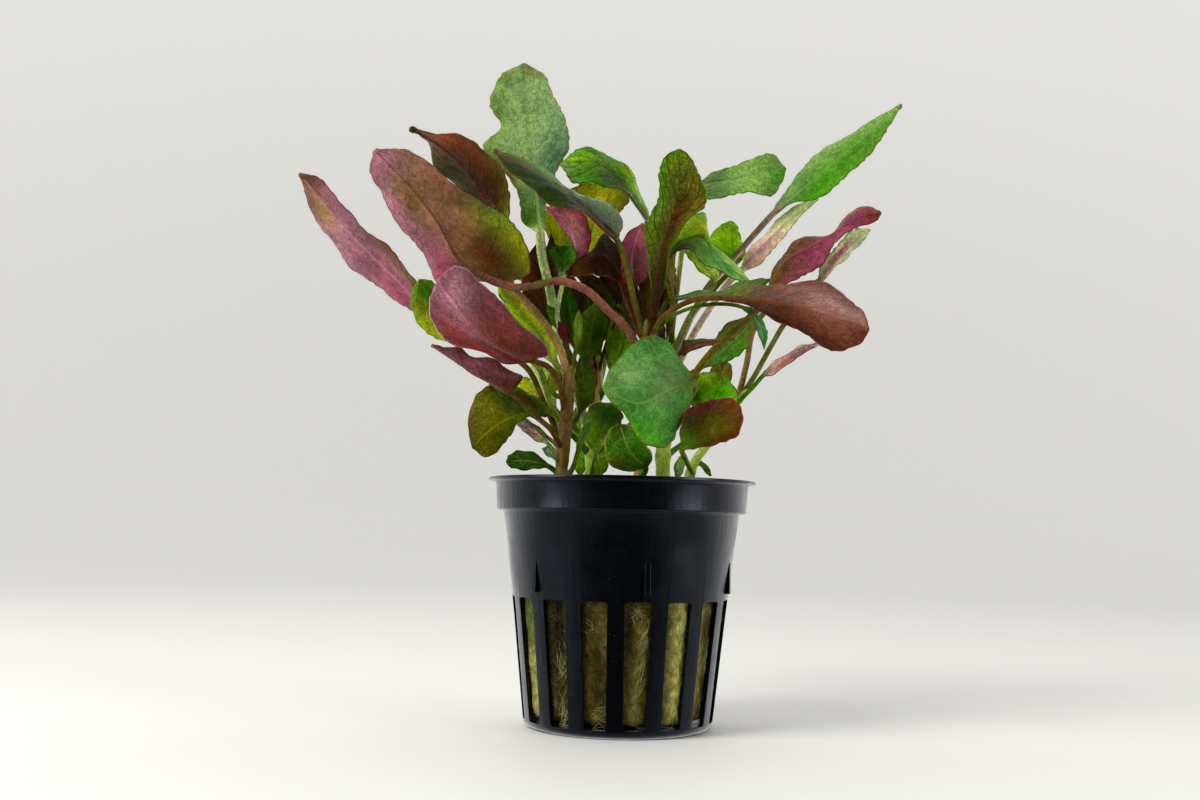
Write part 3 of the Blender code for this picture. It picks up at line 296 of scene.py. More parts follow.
             ("grey_green", 0.05, -0.5, 0.2, 0.8), ("rose", 0, 0, 0.06, 1),
             ("soft_green", 0.5, -0.7, 0.4, 0.5), ("vivid", 0.3, 0.5, 0.2, 0.5),
             ("soft_green", 1, 0, 0.25, 1.5), ("brass", 0.72, 1, 0.25, 0.16),
             ("umber", 0.98, 1, 0.03, 0.5)])),
    Leaf("pink_right", "middle", 69, [(14.5, 81, 16), (21.3, 91.5, 17)],
         [(24.6, 94.8, 18), (29, 99.8, 19), (34, 105, 20), (40.3, 110.2, 21)],
         [(25, 98, 20), (29, 102.5, 22), (34, 107.8, 23)],
         [(27.5, 95.3, 18), (32, 100.3, 19), (37, 106.7, 20)],
         Look("under", "grey_green", "blush", "blush", "rose", "rose", 1.5, 0.28, 1.6, [
             ("soft_green", 0.8, 0, 0.3, 1.6), ("vivid", 0.7, -1, 0.2, 0.3),
             ("rose", 0.2, 0.1, 0.2, 0.6)])),
    Leaf("right_purple", "middle", 58,
         [(12.5, 64, -8), (14.4, 71.5, -15), (17.5, 76.2, -15), (22, 81, -13), (27.5, 86, -8)],
         [(30.5, 91, -4), (33.5, 96, -2), (38.5, 99, 0), (43.5, 102.3, 0), (48, 105.6, -1),
          (53.5, 107.2, -2)],
         [(31.3, 96, 1), (35.5, 101, 3), (42.5, 102.6, 4), (45.5, 106.2, 3), (50.5, 108.6, 1)],
         [(35.5, 92.4, -4), (41, 96, -3), (44.2, 101, -3), (48.5, 104.2, -3), (52, 105, -2.5)],
         Look("under", "vivid", "violet", "olive", "wine", "wine", 1.5, 0.2, 1.12, [
             ("brown", 0.1, -0.3, 0.3, 1.2), ("violet", 0.55, 0.1, 0.2, 0.9),
             ("brown", 0.3, -0.6, 0.25, 0.4), ("brick", 0.95, 0.2, 0.12, 1),
             ("lime", 0.68, -1.1, 0.16, 0.25)])),
    Leaf("right_pale", "right", 66.5, [(25.3, 74, -5), (27.2, 83, -1), (33, 89, 3)],
         [(40.5, 92.6, 6), (43.8, 96.8, 7), (47, 100.3, 7), (51, 103.9, 7)],
         [(40.6, 95.5, 6), (43.8, 99.8, 6), (47.5, 103.6, 7)],
         [(43.2, 94.7, 9), (47.5, 98.8, 9), (50.3, 101.8, 8)],
         Look("under", "grey_green", "sage", "tan", "rose", "green", 1.3, 0.28, 1.4, [
             ("rose", 0.25, -0.1, 0.4, 0.5), ("violet", 0.5, -0.3, 0.2, 0.25)])),
    Leaf("front_red", "centre", 77, [(7.3, 83.3, -12), (10, 85.8, -14), (14.5, 88, -16)],
         [(20, 88.5, -18), (28, 88, -22), (36, 86.8, -25), (44, 84.6, -27), (51, 82.3, -28)],
         [(23, 89.6, -15), (29, 91.3, -15), (36, 92.6, -16), (43, 91.4, -19), (49.5, 86.8, -24)],
         [(22, 87.6, -16), (29, 85.7, -17), (36, 81.5, -19), (43, 78, -21), (49, 79.2, -25)],
         Look("under", "green", "brick", "brown", "rust", "crimson", 1.2, 0.14, 0.92, [
             ("brown", 0.12, 0, 0.28, 1.6), ("rosewood", 0.85, -0.2, 0.3, 1),
             ("rose", 0.75, -0.5, 0.25, 0.35), ("crimson", 1, 0.9, 0.12, 0.5),
             ("maroon", 0.4, 1, 0.35, 0.4), ("moss", 0.1, -0.9, 0.1, 0.5)])),
    Leaf("edge_green", "centre", 80, [(6.8, 83.8, -3.8)],
         [(9, 87.9, -5), (15, 89, -8), (21, 89.6, -10), (30.3, 92.6, -10)],
         [(14, 89.6, -5), (20, 90, -6), (25.5, 92.6, -7)],
         [(14, 88.2, -10), (22, 89, -12.5), (28, 90.6, -12)],
         Look("upper", "forest", "brown", "olive", "green", "umber", 1, 0.21, 1.1, [
             ("moss", 0.6, 0, 0.4, 1)])),
    Leaf("front_centre", "middle", 62, [(12, 65, -18), (14.8, 69.5, -26)],
         [(14.2, 70.6, -28), (9, 68.8, -31), (3, 66, -33), (-4.5, 69.3, -33)],
         [(14, 72.5, -27), (11.6, 74.6, -28), (10, 78.7, -29), (6, 80.3, -30), (1.5, 78.2, -31),
          (-3, 73, -32)],
         [(14.2, 66.3, -28), (11.6, 63.5, -29), (11, 58.8, -30), (7.5, 56.7, -31), (3.8, 58, -32),
          (0.5, 63.3, -33), (-3.5, 67, -33)],
         # The grey green dabs are painted highlights on the leaf's upper face.
         Look("upper", "jade", "plum", "olive", "soft_green", "brown", 1.5, 0.4, 1.1, [
             ("grey_green", 0.3, -0.2, 0.2, 0.5), ("vivid", 0.62, 0.85, 0.2, 0.4),
             ("soft_green", 1, 0, 0.14, 1.2), ("forest", 0.3, 0.95, 0.12, 0.3),
             ("grey_green", 0.7, -0.5, 0.2, 0.3)])),
    Leaf("front_maroon", "right", 52, [(12.8, 55, -16)],
         [(12.5, 57, -22), (16.5, 60, -25), (20.5, 63, -26), (24.4, 65.8, -26)],
         [(11.7, 61, -23), (13.5, 65.2, -24), (18, 67.1, -25), (22.3, 67.5, -25.5)],
         [(15.5, 56.8, -24), (20, 57.9, -26), (24, 59.8, -27), (24.9, 62.6, -27)],
         Look("upper", "deep_olive", "plum", "moss", "olive", "crimson", 1.2, 0.28, 1.1, [
             ("green", 0.08, 0, 0.18, 1.2), ("wine", 0.65, -0.9, 0.3, 0.5),
             ("maroon", 0.6, 0.95, 0.35, 0.4), ("rust", 1, 0, 0.22, 1.3), ("olive", 0.55, 0.1, 0.2, 0.5)])),
    Leaf("round_bright", "right", 60, [], [(16.5, 64, -13), (18.8, 67.5, -13), (21, 72, -13)],
         [(14.3, 65.5, -12), (14.4, 69.5, -12), (16.3, 72.7, -12), (18.8, 73, -12)],
         [(20.5, 64.5, -13), (24, 66.5, -13), (23, 70, -13)],
         Look("upper", "moss", "lime", "green", "green", "umber", 1.1, 0.28, 1.65, [
             ("green", 0.1, 0, 0.3, 1), ("vivid", 0.6, 0.3, 0.35, 0.6), ("forest", 0.3, -0.8, 0.2, 0.4)])),
    Leaf("rim_centre", "centre", 50, [], [(4.8, 52.8, -11), (1.5, 56, -16), (-0.8, 61.7, -18)],
         [(0.5, 51.8, -13), (-3, 53.5, -15), (-3.8, 57, -16), (-3, 60.5, -17)],
         [(6.3, 54.8, -12), (4.5, 58, -16), (2, 61.2, -17)],
         Look("upper", "green", "green", "green", "straw", "tan", 1.2, 0.2, 1.2, [
             ("forest", 0.05, 0, 0.15, 1), ("moss", 0.45, -0.7, 0.15, 0.5),
             ("deep_olive", 1, 0, 0.22, 1.4)])),
    Leaf("olive_right", "middle", 67, [(12.5, 71.5, 3)], [(16.3, 74, 3), (21, 78, 4), (27.8, 84.7, 5)],
         [(18, 77.5, 5), (19.8, 81.8, 6), (23.5, 84.2, 6)],
         [(19.5, 74.4, 3), (24, 76.5, 3), (26.8, 80, 4)],
         Look("upper", "green", "olive", "olive", "straw", "umber", 1.1, 0.21, 1.9, [
             ("olive", 0.75, -0.5, 0.35, 0.9), ("jade", 0.1, 0.2, 0.25, 0.8)])),
    Leaf("olive_small", "right", 62, [], [(19.6, 68.5, -3), (20.5, 72.5, -2), (21.4, 75.2, -2)],
         [(17.8, 72.5, -2), (19.3, 74.9, -2)], [(22.3, 71.5, -3), (22.5, 74, -3)],
         Look("upper", "olive", "plum", "olive", "straw", "brown", 0.86, 0.21, 1)),
    Leaf("narrow_right", "right", 66, [(26.6, 69.5, -10)],
         [(29, 72.3, -10), (33, 75.8, -11), (37, 78.2, -11), (41.5, 79.6, -11)],
         [(30.5, 74.7, -8), (36, 78.4, -8)], [(31, 72.6, -13), (36.5, 76.5, -13)],
         Look("under", "green", "rose", "green", "rose", "wine", 1, 0.21, 1.8, [
             ("sage", 0.5, -1, 0.7, 0.7), ("rosewood", 0.4, 0.6, 0.4, 0.4)])),
    Leaf("behind_red", "right", 66.8, [(27.3, 72.5, -7), (30.5, 78.5, -6)],
         [(34, 84, -4), (39, 86, 1), (46, 86, 8)], [(36, 88, 0), (42, 90, 6)],
         [(38, 83.2, 0), (44, 82, 7)],
         Look("upper", "olive", "plum", "tan", "straw", "brown", 1.1, 0.21, 2.2)),
    Leaf("small_maroon", "middle", 72, [], [(11.8, 77, 0), (15, 78.6, -2), (23, 79.8, -4)],
         [(12.4, 79.4, 0), (16, 79.8, -1)], [(12, 75.9, 0), (14.5, 77.4, -2)],
         Look("under", "forest", "aubergine", "brown", "brick", "forest", 0.95, 0.21, 2, [
             ("rosewood", 0.3, 0.4, 0.4, 0.6), ("moss", 0.5, -0.8, 0.5, 0.6)])),
    Leaf("dark_by_stem", "left", 60, [], [(-9, 64, -7), (-9, 70, -7), (-8.9, 76.8, -6)],
         [(-10, 67, -6), (-10.2, 72, -6)], [(-6.5, 66, -8), (-5.5, 70.5, -8), (-7, 75.8, -7)],
         Look("upper", "forest", "maroon", "brown", "olive", "wine", 1, 0.21, 1.5, [
             ("maroon", 0.6, 1, 0.5, 0.2), ("moss", 0.35, -0.4, 0.3, 0.7)])),
    Leaf("dark_left", "left", 66.5, [], [(-14.6, 67.8, -11.5), (-14.4, 70.3, -12), (-13.9, 73.4, -12)],
         [(-15.9, 68.8, -11.5), (-15.6, 71.6, -12)], [(-13.3, 69.2, -11.7), (-13, 71.8, -12)],
         Look("upper", "moss", "plum", "olive", "olive", "umber", 0.86, 0.21, 1.3)),
    Leaf("faint_purple", "left", 54, [], [(-15.8, 57.5, -6), (-19.5, 60.8, -6), (-22.8, 62.2, -6)],
         [(-19, 61.9, -5), (-21.5, 62.6, -5)], [(-18, 57.8, -7), (-21.5, 60.3, -7)],
         Look("under", "grey_green", "sage", "straw", "rose", "rose", 0.86, 0.21, 1.6, [
             ("rose", 0.5, 0.2, 0.3, 0.7)])),
    Leaf("dark_low", "back", 50, [], [(-5.5, 55.5, 2), (-4.5, 61, 0), (-1.5, 66.2, -1)],
         [(-8.5, 60, 1), (-6.5, 65.5, 0)], [(-2.5, 58.5, 1), (0, 63, -1)],
         Look("upper", "moss", "plum", "straw", "green", "umber", 1, 0.21, 2, [
             ("lime", 0.05, 0, 0.2, 1.4), ("brass", 0.15, 0.8, 0.14, 0.4),
             ("forest", 0.75, 0, 0.25, 1.4)])),
    Leaf("inner_left", "back", 69, [], [(-7.8, 74.5, 4), (-7, 81, 2), (-6, 87.5, 3)],
         [(-9.8, 77, 4), (-9.5, 84, 3)], [(-4.8, 77.5, 3), (-3.5, 84, 3)],
         Look("upper", "moss", "plum", "green", "olive", "umber", 1.1, 0.21, 1, [
             ("forest", 0.5, 0.3, 0.5, 0.9)])),
    Leaf("inner_right", "back", 66, [], [(-2.5, 72, 6), (0, 80, 6), (-1.5, 87, 7)],
         [(-4, 76, 6), (-3.5, 83, 7)], [(1.5, 76, 5), (2.2, 83, 6)],
         Look("upper", "moss", "plum", "green", "olive", "umber", 1.1, 0.21, 2, [
             ("green", 0.4, 0.5, 0.4, 0.6)])),
    Leaf("back_left", "back", 70, [(-12, 84, 17)],
         [(-22, 92, 23), (-32, 99, 32), (-42, 107, 39), (-50, 114, 43)],
         [(-30, 93.5, 31), (-40, 98, 40), (-47, 106, 43)], [(-26, 101, 22), (-36, 109, 31)],
         Look("under", "green", "mauve", "rosewood", "rose", "wine", 1.4, 0.28, 1, [
             ("olive", 0.2, 0.5, 0.35, 0.8), ("pale_mauve", 0.8, -0.6, 0.3, 0.5)])),
    Leaf("back_top", "back", 67.5, [(-13.5, 80, 13), (-17, 95, 18)],
         [(-19, 108, 23), (-20.5, 118, 30), (-20.5, 131, 36)], [(-24, 116, 24), (-24.5, 124, 30)],
         [(-15.5, 117, 33), (-16, 125, 39)],
         Look("under", "soft_green", "plum", "straw", "rose", "wine", 1.7, 0.28, 1, [
             ("brick", 0.2, 0, 0.35, 1.2), ("mauve", 0.8, 0.3, 0.3, 0.8)])),
    Leaf("back_centre", "middle", 73.5, [(9.3, 86, 16)], [(9.8, 97, 22), (10, 106, 26), (10.5, 116, 28)],
         [(8, 102, 20), (8.5, 111, 22)], [(12, 103, 29), (13, 112, 34)],
         Look("under", "olive", "brick", "olive", "rust", "crimson", 1.4, 0.35, 1, [
             ("brown", 0.15, 0, 0.4, 1.2), ("rosewood", 0.9, 0, 0.25, 1)])),
    Leaf("back_right", "middle", 62, [(10, 75, 16), (16.5, 87.9, 23)],
         [(26, 89, 29), (35, 88, 39), (45, 85, 48)], [(30, 91, 31), (39, 91.5, 41)],
         [(30, 85.5, 36), (40, 81, 46)],
         Look("under", "green", "plum", "rosewood", "rose", "wine", 1.5, 0.28, 1, [
             ("violet", 0.6, 0.3, 0.4, 0.7), ("brown", 0.05, 0, 0.25, 1.2)])),
    Leaf("back_low_left", "back", 64, [(-13, 76, 15)], [(-19, 79.5, 22), (-28, 82, 33), (-37, 86, 42)],
         [(-24, 78, 30), (-33, 79.5, 41)], [(-24, 84.5, 24), (-32, 90, 35)],
         Look("under", "vivid", "mauve", "olive", "tan", "rust", 1.3, 0.35, 1, [
             ("olive", 0.1, 0, 0.35, 1.2), ("brick", 0.6, 0.6, 0.3, 0.5)])),
    Leaf("back_low_centre", "back", 55, [(-1, 60, 18)], [(2, 62, 26), (4, 68, 37), (5, 76, 47)],
         [(-1, 66, 31), (-1, 73, 43)], [(7, 64, 32), (10, 72, 43)],
         Look("under", "olive", "rosewood", "olive", "rust", "crimson", 1.4, 0.35, 1, [
             ("olive", 0.2, 0.4, 0.3, 0.7), ("mauve", 0.8, -0.3, 0.3, 0.7)])),
    Leaf("back_low_right", "middle", 55, [(14, 59, 10)], [(18, 62, 17), (20, 66, 27), (21.5, 71, 36)],
         [(16.5, 66, 25), (17, 70, 33)], [(22, 64.5, 25), (23, 69, 34)],
         Look("under", "green", "olive", "green", "straw", "rust", 1.2, 0.28, 1, [
             ("green", 0.3, 0, 0.4, 0.8), ("mauve", 0.9, 0, 0.3, 1)])),
    Leaf("back_upper", "back", 65, [(-3, 84, 20)], [(-5.5, 98, 27), (-7, 108, 31), (-6, 117, 33)],
         [(-9.5, 105, 25), (-10.5, 112, 27)], [(-4.5, 105, 36), (-3.5, 112, 40)],
         Look("under", "lime", "sage", "straw", "rose", "brown", 1.3, 0.28, 1, [
             ("rose", 0.4, -0.5, 0.4, 0.6), ("vivid", 0.9, 0.4, 0.3, 0.7)])),
]

# Small leaves that no node stands for: young leaves and bare stalks low between the stems, leaves
# in the stems' crowns, and dark leaves deep between the stalks, whose dark colours are partly
# their own and partly painted shade for the plant's shaded inside.
YOUNG = [
    Leaf("lime_behind", "back", 48.5, [], [(-6.8, 52, 10), (-6.2, 57, 11), (-5.4, 62.5, 11)],
         [(-9.4, 55.5, 10.5), (-8.6, 59.8, 11)], [(-3.2, 55, 10), (-2.8, 59.5, 11)],
         Look("upper", "vivid", "lime", "lime", "lime", "lime", 1.3, 0.2, 2.2, [
             ("lime", 0.3, 0.5, 0.4, 0.8)])),
    Leaf("slim_green", "left", 49.5, [(-10.4, 52, -7)],
         [(-9.2, 56, -6), (-8.2, 59.5, -5), (-6.6, 62.4, -4)], [(-9.6, 58, -6), (-8.3, 61, -5)],
         [(-8, 57.8, -5), (-7, 60.5, -4)],
         Look("upper", "moss", "pale_green", "lime", "straw", "green", 1, 0.2, 1.5, [
             ("jade", 0.7, 0, 0.4, 1)])),
    Leaf("pale_behind", "back", 57, [(-10, 60.5, 8)], [(-14.4, 64.5, 7), (-17, 69.5, 7), (-19.6, 74.6, 8)],
         [(-16.9, 66.4, 7), (-19.6, 71, 8)], [(-14.2, 68.5, 7), (-16, 73, 8)],
         Look("upper", "sage", "sage", "lime", "lime", "lime", 1.3, 0.3, 2, [
             ("lime", 0.4, 0.7, 0.5, 0.5)])),
    Leaf("lime_behind_left", "back", 55, [(-11, 59.5, 3)],
         [(-16.5, 64, 1), (-19.8, 67.5, 1), (-22.4, 71.4, 2)], [(-19.4, 65.4, 1), (-22, 68.4, 2)],
         [(-17.2, 67.2, 1), (-19.8, 70.8, 2)],
         Look("upper", "brass", "lime", "olive", "straw", "lime", 1.1, 0.2, 1.7)),
    Leaf("pale_stalk_left", "left", 55.5, [(-14.4, 57.6, -6)],
         [(-16, 58.8, -5), (-19, 60.9, -4), (-22.4, 62.6, -4)], [(-17.8, 59.4, -5), (-20, 60.9, -4)],
         [(-17, 60.4, -5), (-19.6, 61.9, -4)],
         Look("upper", "straw", "lime", "straw", "straw", "lime", 0.8, 0.2, 1.6)),
    Leaf("lowest_left", "left", 53.4, [], [(-13.8, 54.2, -10.5), (-15, 55.4, -10.5), (-16.8, 56.2, -10)],
         [(-14.9, 54.3, -10.8), (-16.1, 55.1, -10.4)], [(-14.3, 55.6, -10.2), (-15.6, 56.7, -10)],
         Look("upper", "sea_green", "sage", "straw", "sage", "green", 0.7, 0.2, 1.2)),
    Leaf("bud_leaf_left", "back", 47.5, [], [(-8.6, 50.8, 3), (-8.9, 53, 2), (-9.2, 55.2, 1.5)],
         [(-9.8, 52.2, 2.4), (-10.1, 54, 2)], [(-7.6, 52.4, 2.4), (-8.1, 54.2, 2)],
         Look("upper", "lime", "lime", "lime", "lime", "green", 0.9, 0.2, 1.7)),
    Leaf("bud_leaf_middle", "back", 47, [], [(-4.9, 50.6, 3), (-4.2, 52.8, 2), (-3.3, 55, 1.5)],
         [(-5.9, 52.4, 2.4), (-5, 54.4, 2)], [(-3.4, 51.8, 2.4), (-2.7, 53.6, 2)],
         Look("upper", "moss", "lime", "lime", "lime", "green", 0.9, 0.2, 2)),
    Leaf("bud_leaf_right", "middle", 47, [], [(11.3, 50.6, 0), (12, 53.2, 0), (12.8, 55.8, 0)],
         [(10.7, 52.8, 0), (11.5, 55, 0)], [(12.8, 52.4, 0), (13.4, 54.6, 0)],
         Look("upper", "soft_green", "sage", "lime", "sage", "green", 0.9, 0.2, 1.5)),
    Leaf("stub_right", "right", 53.2, [], [(15.9, 53.9, -5), (17.1, 53, -4), (18.4, 51.2, -3)],
         [(16.4, 53, -4.6), (17.4, 51.7, -4)], [(16.9, 54, -4.4), (18.1, 52.7, -3.4)],
         Look("upper", "moss", "moss", "moss", "moss", "umber", 0.9, 0.2, 1)),
    Leaf("shoot_leaf_left", "left", 70, [(-11.4, 74, -9)],
         [(-12, 76.8, -8), (-12.8, 80, -7.5), (-14, 83, -7)], [(-13.1, 78.4, -8), (-14.1, 81.2, -7)],
         [(-11.5, 79, -7.4), (-12.4, 82, -7)],
         Look("upper", "wine", "aubergine", "brown", "wine", "umber", 0.8, 0.2, 1)),
    Leaf("shoot_leaf_inner", "left", 69.5, [(-10.6, 74.5, -9)],
         [(-10, 78, -8.4), (-9.6, 81.5, -8), (-9.8, 85.5, -7.6)], [(-10.7, 79.6, -8.4), (-10.7, 83, -8)],
         [(-9, 79.4, -8), (-8.8, 83, -7.6)],
         Look("upper", "moss", "brown", "brown", "straw", "umber", 0.9, 0.2, 1.2)),
    Leaf("lime_by_stem", "back", 53, [(-7.8, 55.5, 9)], [(-8.8, 58, 10), (-9.5, 61, 10.5), (-9.9, 65, 11)],
         [(-10.7, 59.4, 10), (-11.2, 62.4, 11)], [(-7.4, 59.8, 10), (-8.2, 63, 11)],
         Look("upper", "lime", "lime", "lime", "straw", "vivid", 1, 0.2, 1.6, [("moss", 0.8, 0, 0.3, 1)])),
    Leaf("dark_behind_left", "back", 70, [(-10.3, 74.4, 11)],
         [(-14.2, 79, 12), (-16, 84.9, 13), (-17.6, 91.6, 14), (-18.9, 99.5, 15)],
         [(-20.4, 82.3, 13), (-21.8, 89, 14), (-21.7, 95.4, 15)],
         [(-13.3, 84.9, 12), (-14.9, 90.6, 14), (-16.3, 96.3, 15)],
         Look("upper", "umber", "maroon", "umber", "brown", "umber", 1, 0.3, 0.9, [
             ("maroon", 0.6, -0.5, 0.3, 0.6), ("olive", 0.25, 0.3, 0.2, 0.4)])),
    Leaf("small_green_left", "left", 69.8, [(-12.2, 77.3, -4)],
         [(-13, 80.9, -3), (-14.5, 83.6, -2), (-16.4, 86.3, -1)], [(-14.9, 81.7, -2), (-16.2, 84.2, -1)],
         [(-13, 83.7, -2), (-14.7, 85.7, -1)],
         Look("upper", "green", "forest", "olive", "moss", "umber", 0.8, 0.2, 1.1)),
    Leaf("dark_green_centre", "back", 71, [(-8, 74.9, 8)],
         [(-10.6, 77.8, 8), (-11.3, 81.6, 9), (-11.8, 86.2, 10), (-12.3, 90.5, 11)],
         [(-13, 81.1, 8), (-13.7, 86.2, 10)], [(-9.2, 81.6, 9), (-9.9, 86.7, 10)],
         Look("upper", "forest", "moss", "brown", "green", "umber", 0.9, 0.3, 1.1, [
             ("moss", 0.15, 0, 0.25, 1)])),
    Leaf("black_green_tip", "back", 72, [(-3.9, 78.1, 7), (-1.9, 83.9, 7)],
         [(-2.8, 87.7, 7), (-5.4, 89.9, 7), (-8.2, 91.8, 7), (-11.1, 93.5, 7)],
         [(-5.4, 88, 7), (-8.3, 89.7, 7)], [(-4.8, 91.4, 7), (-8, 93.3, 7)],
         Look("upper", "deep_olive", "umber", "umber", "brown", "umber", 0.8, 0.3, 0.8)),
    Leaf("black_centre", "back", 72.5, [(-5.1, 76.6, 10)],
         [(-5.6, 80.2, 11), (-6.5, 84.4, 12), (-7.9, 88, 12), (-9, 90.9, 12)],
         [(-8.4, 83.7, 12), (-10, 87.5, 12)], [(-4, 83.8, 12), (-5.4, 88, 12)],
         Look("upper", "black_green", "maroon", "umber", "forest", "umber", 0.8, 0.3, 1, [
             ("green", 0.3, 0.3, 0.25, 0.6)])),
    Leaf("inner_dark_right", "centre", 78, [],
         [(3.6, 79.7, -2), (2.5, 83.1, 2), (1.4, 86.5, 4), (0.5, 89.4, 5)],
         [(0.6, 82.4, 1), (-0.9, 86, 3)], [(4.6, 83.6, 2), (3.7, 87.3, 4)],
         Look("upper", "umber", "maroon", "brown", "brown", "maroon", 0.9, 0.3, 1, [
             ("forest", 0.6, -0.6, 0.3, 0.7)])),
    Leaf("tan_fold_right", "middle", 77, [],
         [(9.4, 79.8, 8), (9.2, 84.1, 9), (9.1, 88.9, 10), (9.4, 94.7, 11), (9.8, 98.1, 11)],
         [(8.1, 84, 9), (7.8, 88.9, 10), (8.2, 94.2, 11)],
         [(10.2, 84.1, 9), (10.5, 89.6, 10), (10.5, 94.3, 11)],
         Look("upper", "tan", "brown", "olive", "rose", "brown", 1, 0.3, 1.2, [
             ("moss", 0.95, 0, 0.2, 1), ("olive", 0.6, -0.6, 0.4, 0.6)])),
    Leaf("umber_fold", "middle", 76, [], [(8.2, 79.4, 9), (6.9, 82.5, 9), (6.4, 85.7, 9), (7.2, 88.3, 9)],
         [(5.2, 81.9, 9), (5, 85.3, 9)], [(8.3, 83.2, 9), (8.3, 86.2, 9)],
         Look("upper", "brown", "umber", "olive", "olive", "umber", 0.9, 0.3, 1.2, [
             ("tan", 0.25, 0, 0.25, 1)])),
    Leaf("rose_behind", "back", 71.5, [(-7.2, 75.3, 12)],
         [(-8.9, 79.1, 13), (-10.5, 84.3, 14), (-12.5, 90, 15), (-14.8, 96.4, 15)],
         [(-12, 83.2, 14), (-14.8, 88.5, 15), (-16.6, 93.4, 15)],
         [(-8.7, 85.4, 14), (-10, 90.7, 15), (-12.2, 94.7, 15)],
         Look("under", "forest", "deep_olive", "brown", "rosewood", "wine", 0.8, 0.3, 0.9, [
             ("rosewood", 0.8, 0, 0.2, 0.6), ("maroon", 0.2, 0, 0.3, 1)])),
    Leaf("dark_centre_right", "centre", 79, [],
         [(2.3, 81.8, 3), (0.1, 86.4, 7), (-2.5, 90.6, 9), (-5.7, 94.8, 10)],
         [(-1.5, 85.1, 6), (-5, 89.3, 9)], [(2.4, 86.5, 6), (0.2, 91.1, 9)],
         Look("under", "forest", "maroon", "umber", "wine", "umber", 0.8, 0.3, 0.7, [
             ("black_green", 0.5, -0.4, 0.3, 0.6)])),
    Leaf("brown_fold_centre", "centre", 79, [],
         [(5, 81.5, 0), (4.7, 86.1, 3), (4, 91.6, 5), (3.3, 96.7, 6)], [(3.3, 85.2, 3), (2.6, 90.7, 5)],
         [(6.2, 86.5, 3), (5.5, 92, 5)],
         Look("upper", "umber", "maroon", "umber", "rust", "maroon", 0.8, 0.3, 1.1, [
             ("olive", 0.5, 0.5, 0.4, 0.4)])),
    Leaf("olive_behind_stalk", "back", 72.8, [(-11.3, 82.8, 13)],
         [(-13.3, 86.4, 15), (-14.7, 91.7, 17), (-15.4, 96.8, 18), (-16, 101.7, 18)],
         [(-16.3, 90.8, 17), (-17.3, 96.3, 18)], [(-12.8, 90.9, 17), (-13.7, 96.4, 18)],
         Look("upper", "deep_olive", "umber", "olive", "olive", "umber", 0.9, 0.3, 1)),
    Leaf("umber_behind_centre", "back", 72.2, [(-6.8, 78.1, 14)],
         [(-4.3, 79.6, 16), (-4, 85.1, 17), (-5.8, 90.6, 18), (-9.3, 94.3, 18)],
         [(-6.1, 85.1, 17), (-8.3, 90.1, 18)], [(-1.7, 84.3, 17), (-2.9, 90.2, 18)],
         Look("upper", "umber", "black_green", "olive", "brown", "umber", 0.9, 0.3, 1, [
             ("forest", 0.3, 0.3, 0.4, 0.6)])),
    Leaf("maroon_stalk_right", "centre", 79.6, [],
         [(6.5, 80.6, 1), (7, 85.3, 4), (7.6, 90, 6), (8.5, 96.8, 7)], [(6.2, 86.1, 4), (6.7, 91.2, 6)],
         [(8.3, 86.2, 4), (8.8, 91.7, 6)],
         Look("upper", "maroon", "umber", "rosewood", "rust", "maroon", 0.8, 0.3, 1.2)),
    Leaf("hanging_tip", "centre", 79.5, [(10, 84.6, -7), (17, 87, -8)],
         [(24.5, 86.6, -8), (28, 83, -8.5), (29.2, 77.8, -9)], [(26.1, 84.6, -8.4), (27.9, 80.6, -9)],
         [(26.8, 86.4, -8), (29.8, 81.6, -8.6)],
         Look("upper", "jade", "sea_green", "moss", "sage", "green", 0.8, 0.2, 1.2, [
             ("sea_green", 0.6, -0.6, 0.4, 0.5)])),
]


def rgb(code):
    """Linear colour of a six-digit screen colour."""
    parts = [int(code[step:step + 2], 16) / 255 for step in (0, 2, 4)]
    return tuple(part / 12.92 if part <= 0.04045 else ((part + 0.055) / 1.055) ** 2.4 for part in parts)


def colour(name, code, note):
    return FloatVectorProperty(name=name, description=note, default=rgb(code), size=3, min=0.0, max=1.0,
                               subtype="COLOR")


def length(name, millimetres, note):
    return FloatProperty(name=name, description=note, default=millimetres * MM, min=0.0, precision=5,
                         unit="LENGTH")


def share(name, default, note):
    return FloatProperty(name=name, description=note, default=default, min=0.0, max=1.0, subtype="FACTOR")


def number(name, default, note, least, most):
    return IntProperty(name=name, description=note, default=default, min=least, max=most)


def angle(name, degrees, note):
    return FloatProperty(name=name, description=note, default=math.radians(degrees), subtype="ANGLE")


def brightness(name, default, note, **kind):
    return FloatProperty(name=name, description=note, default=default, min=0.0, **kind)


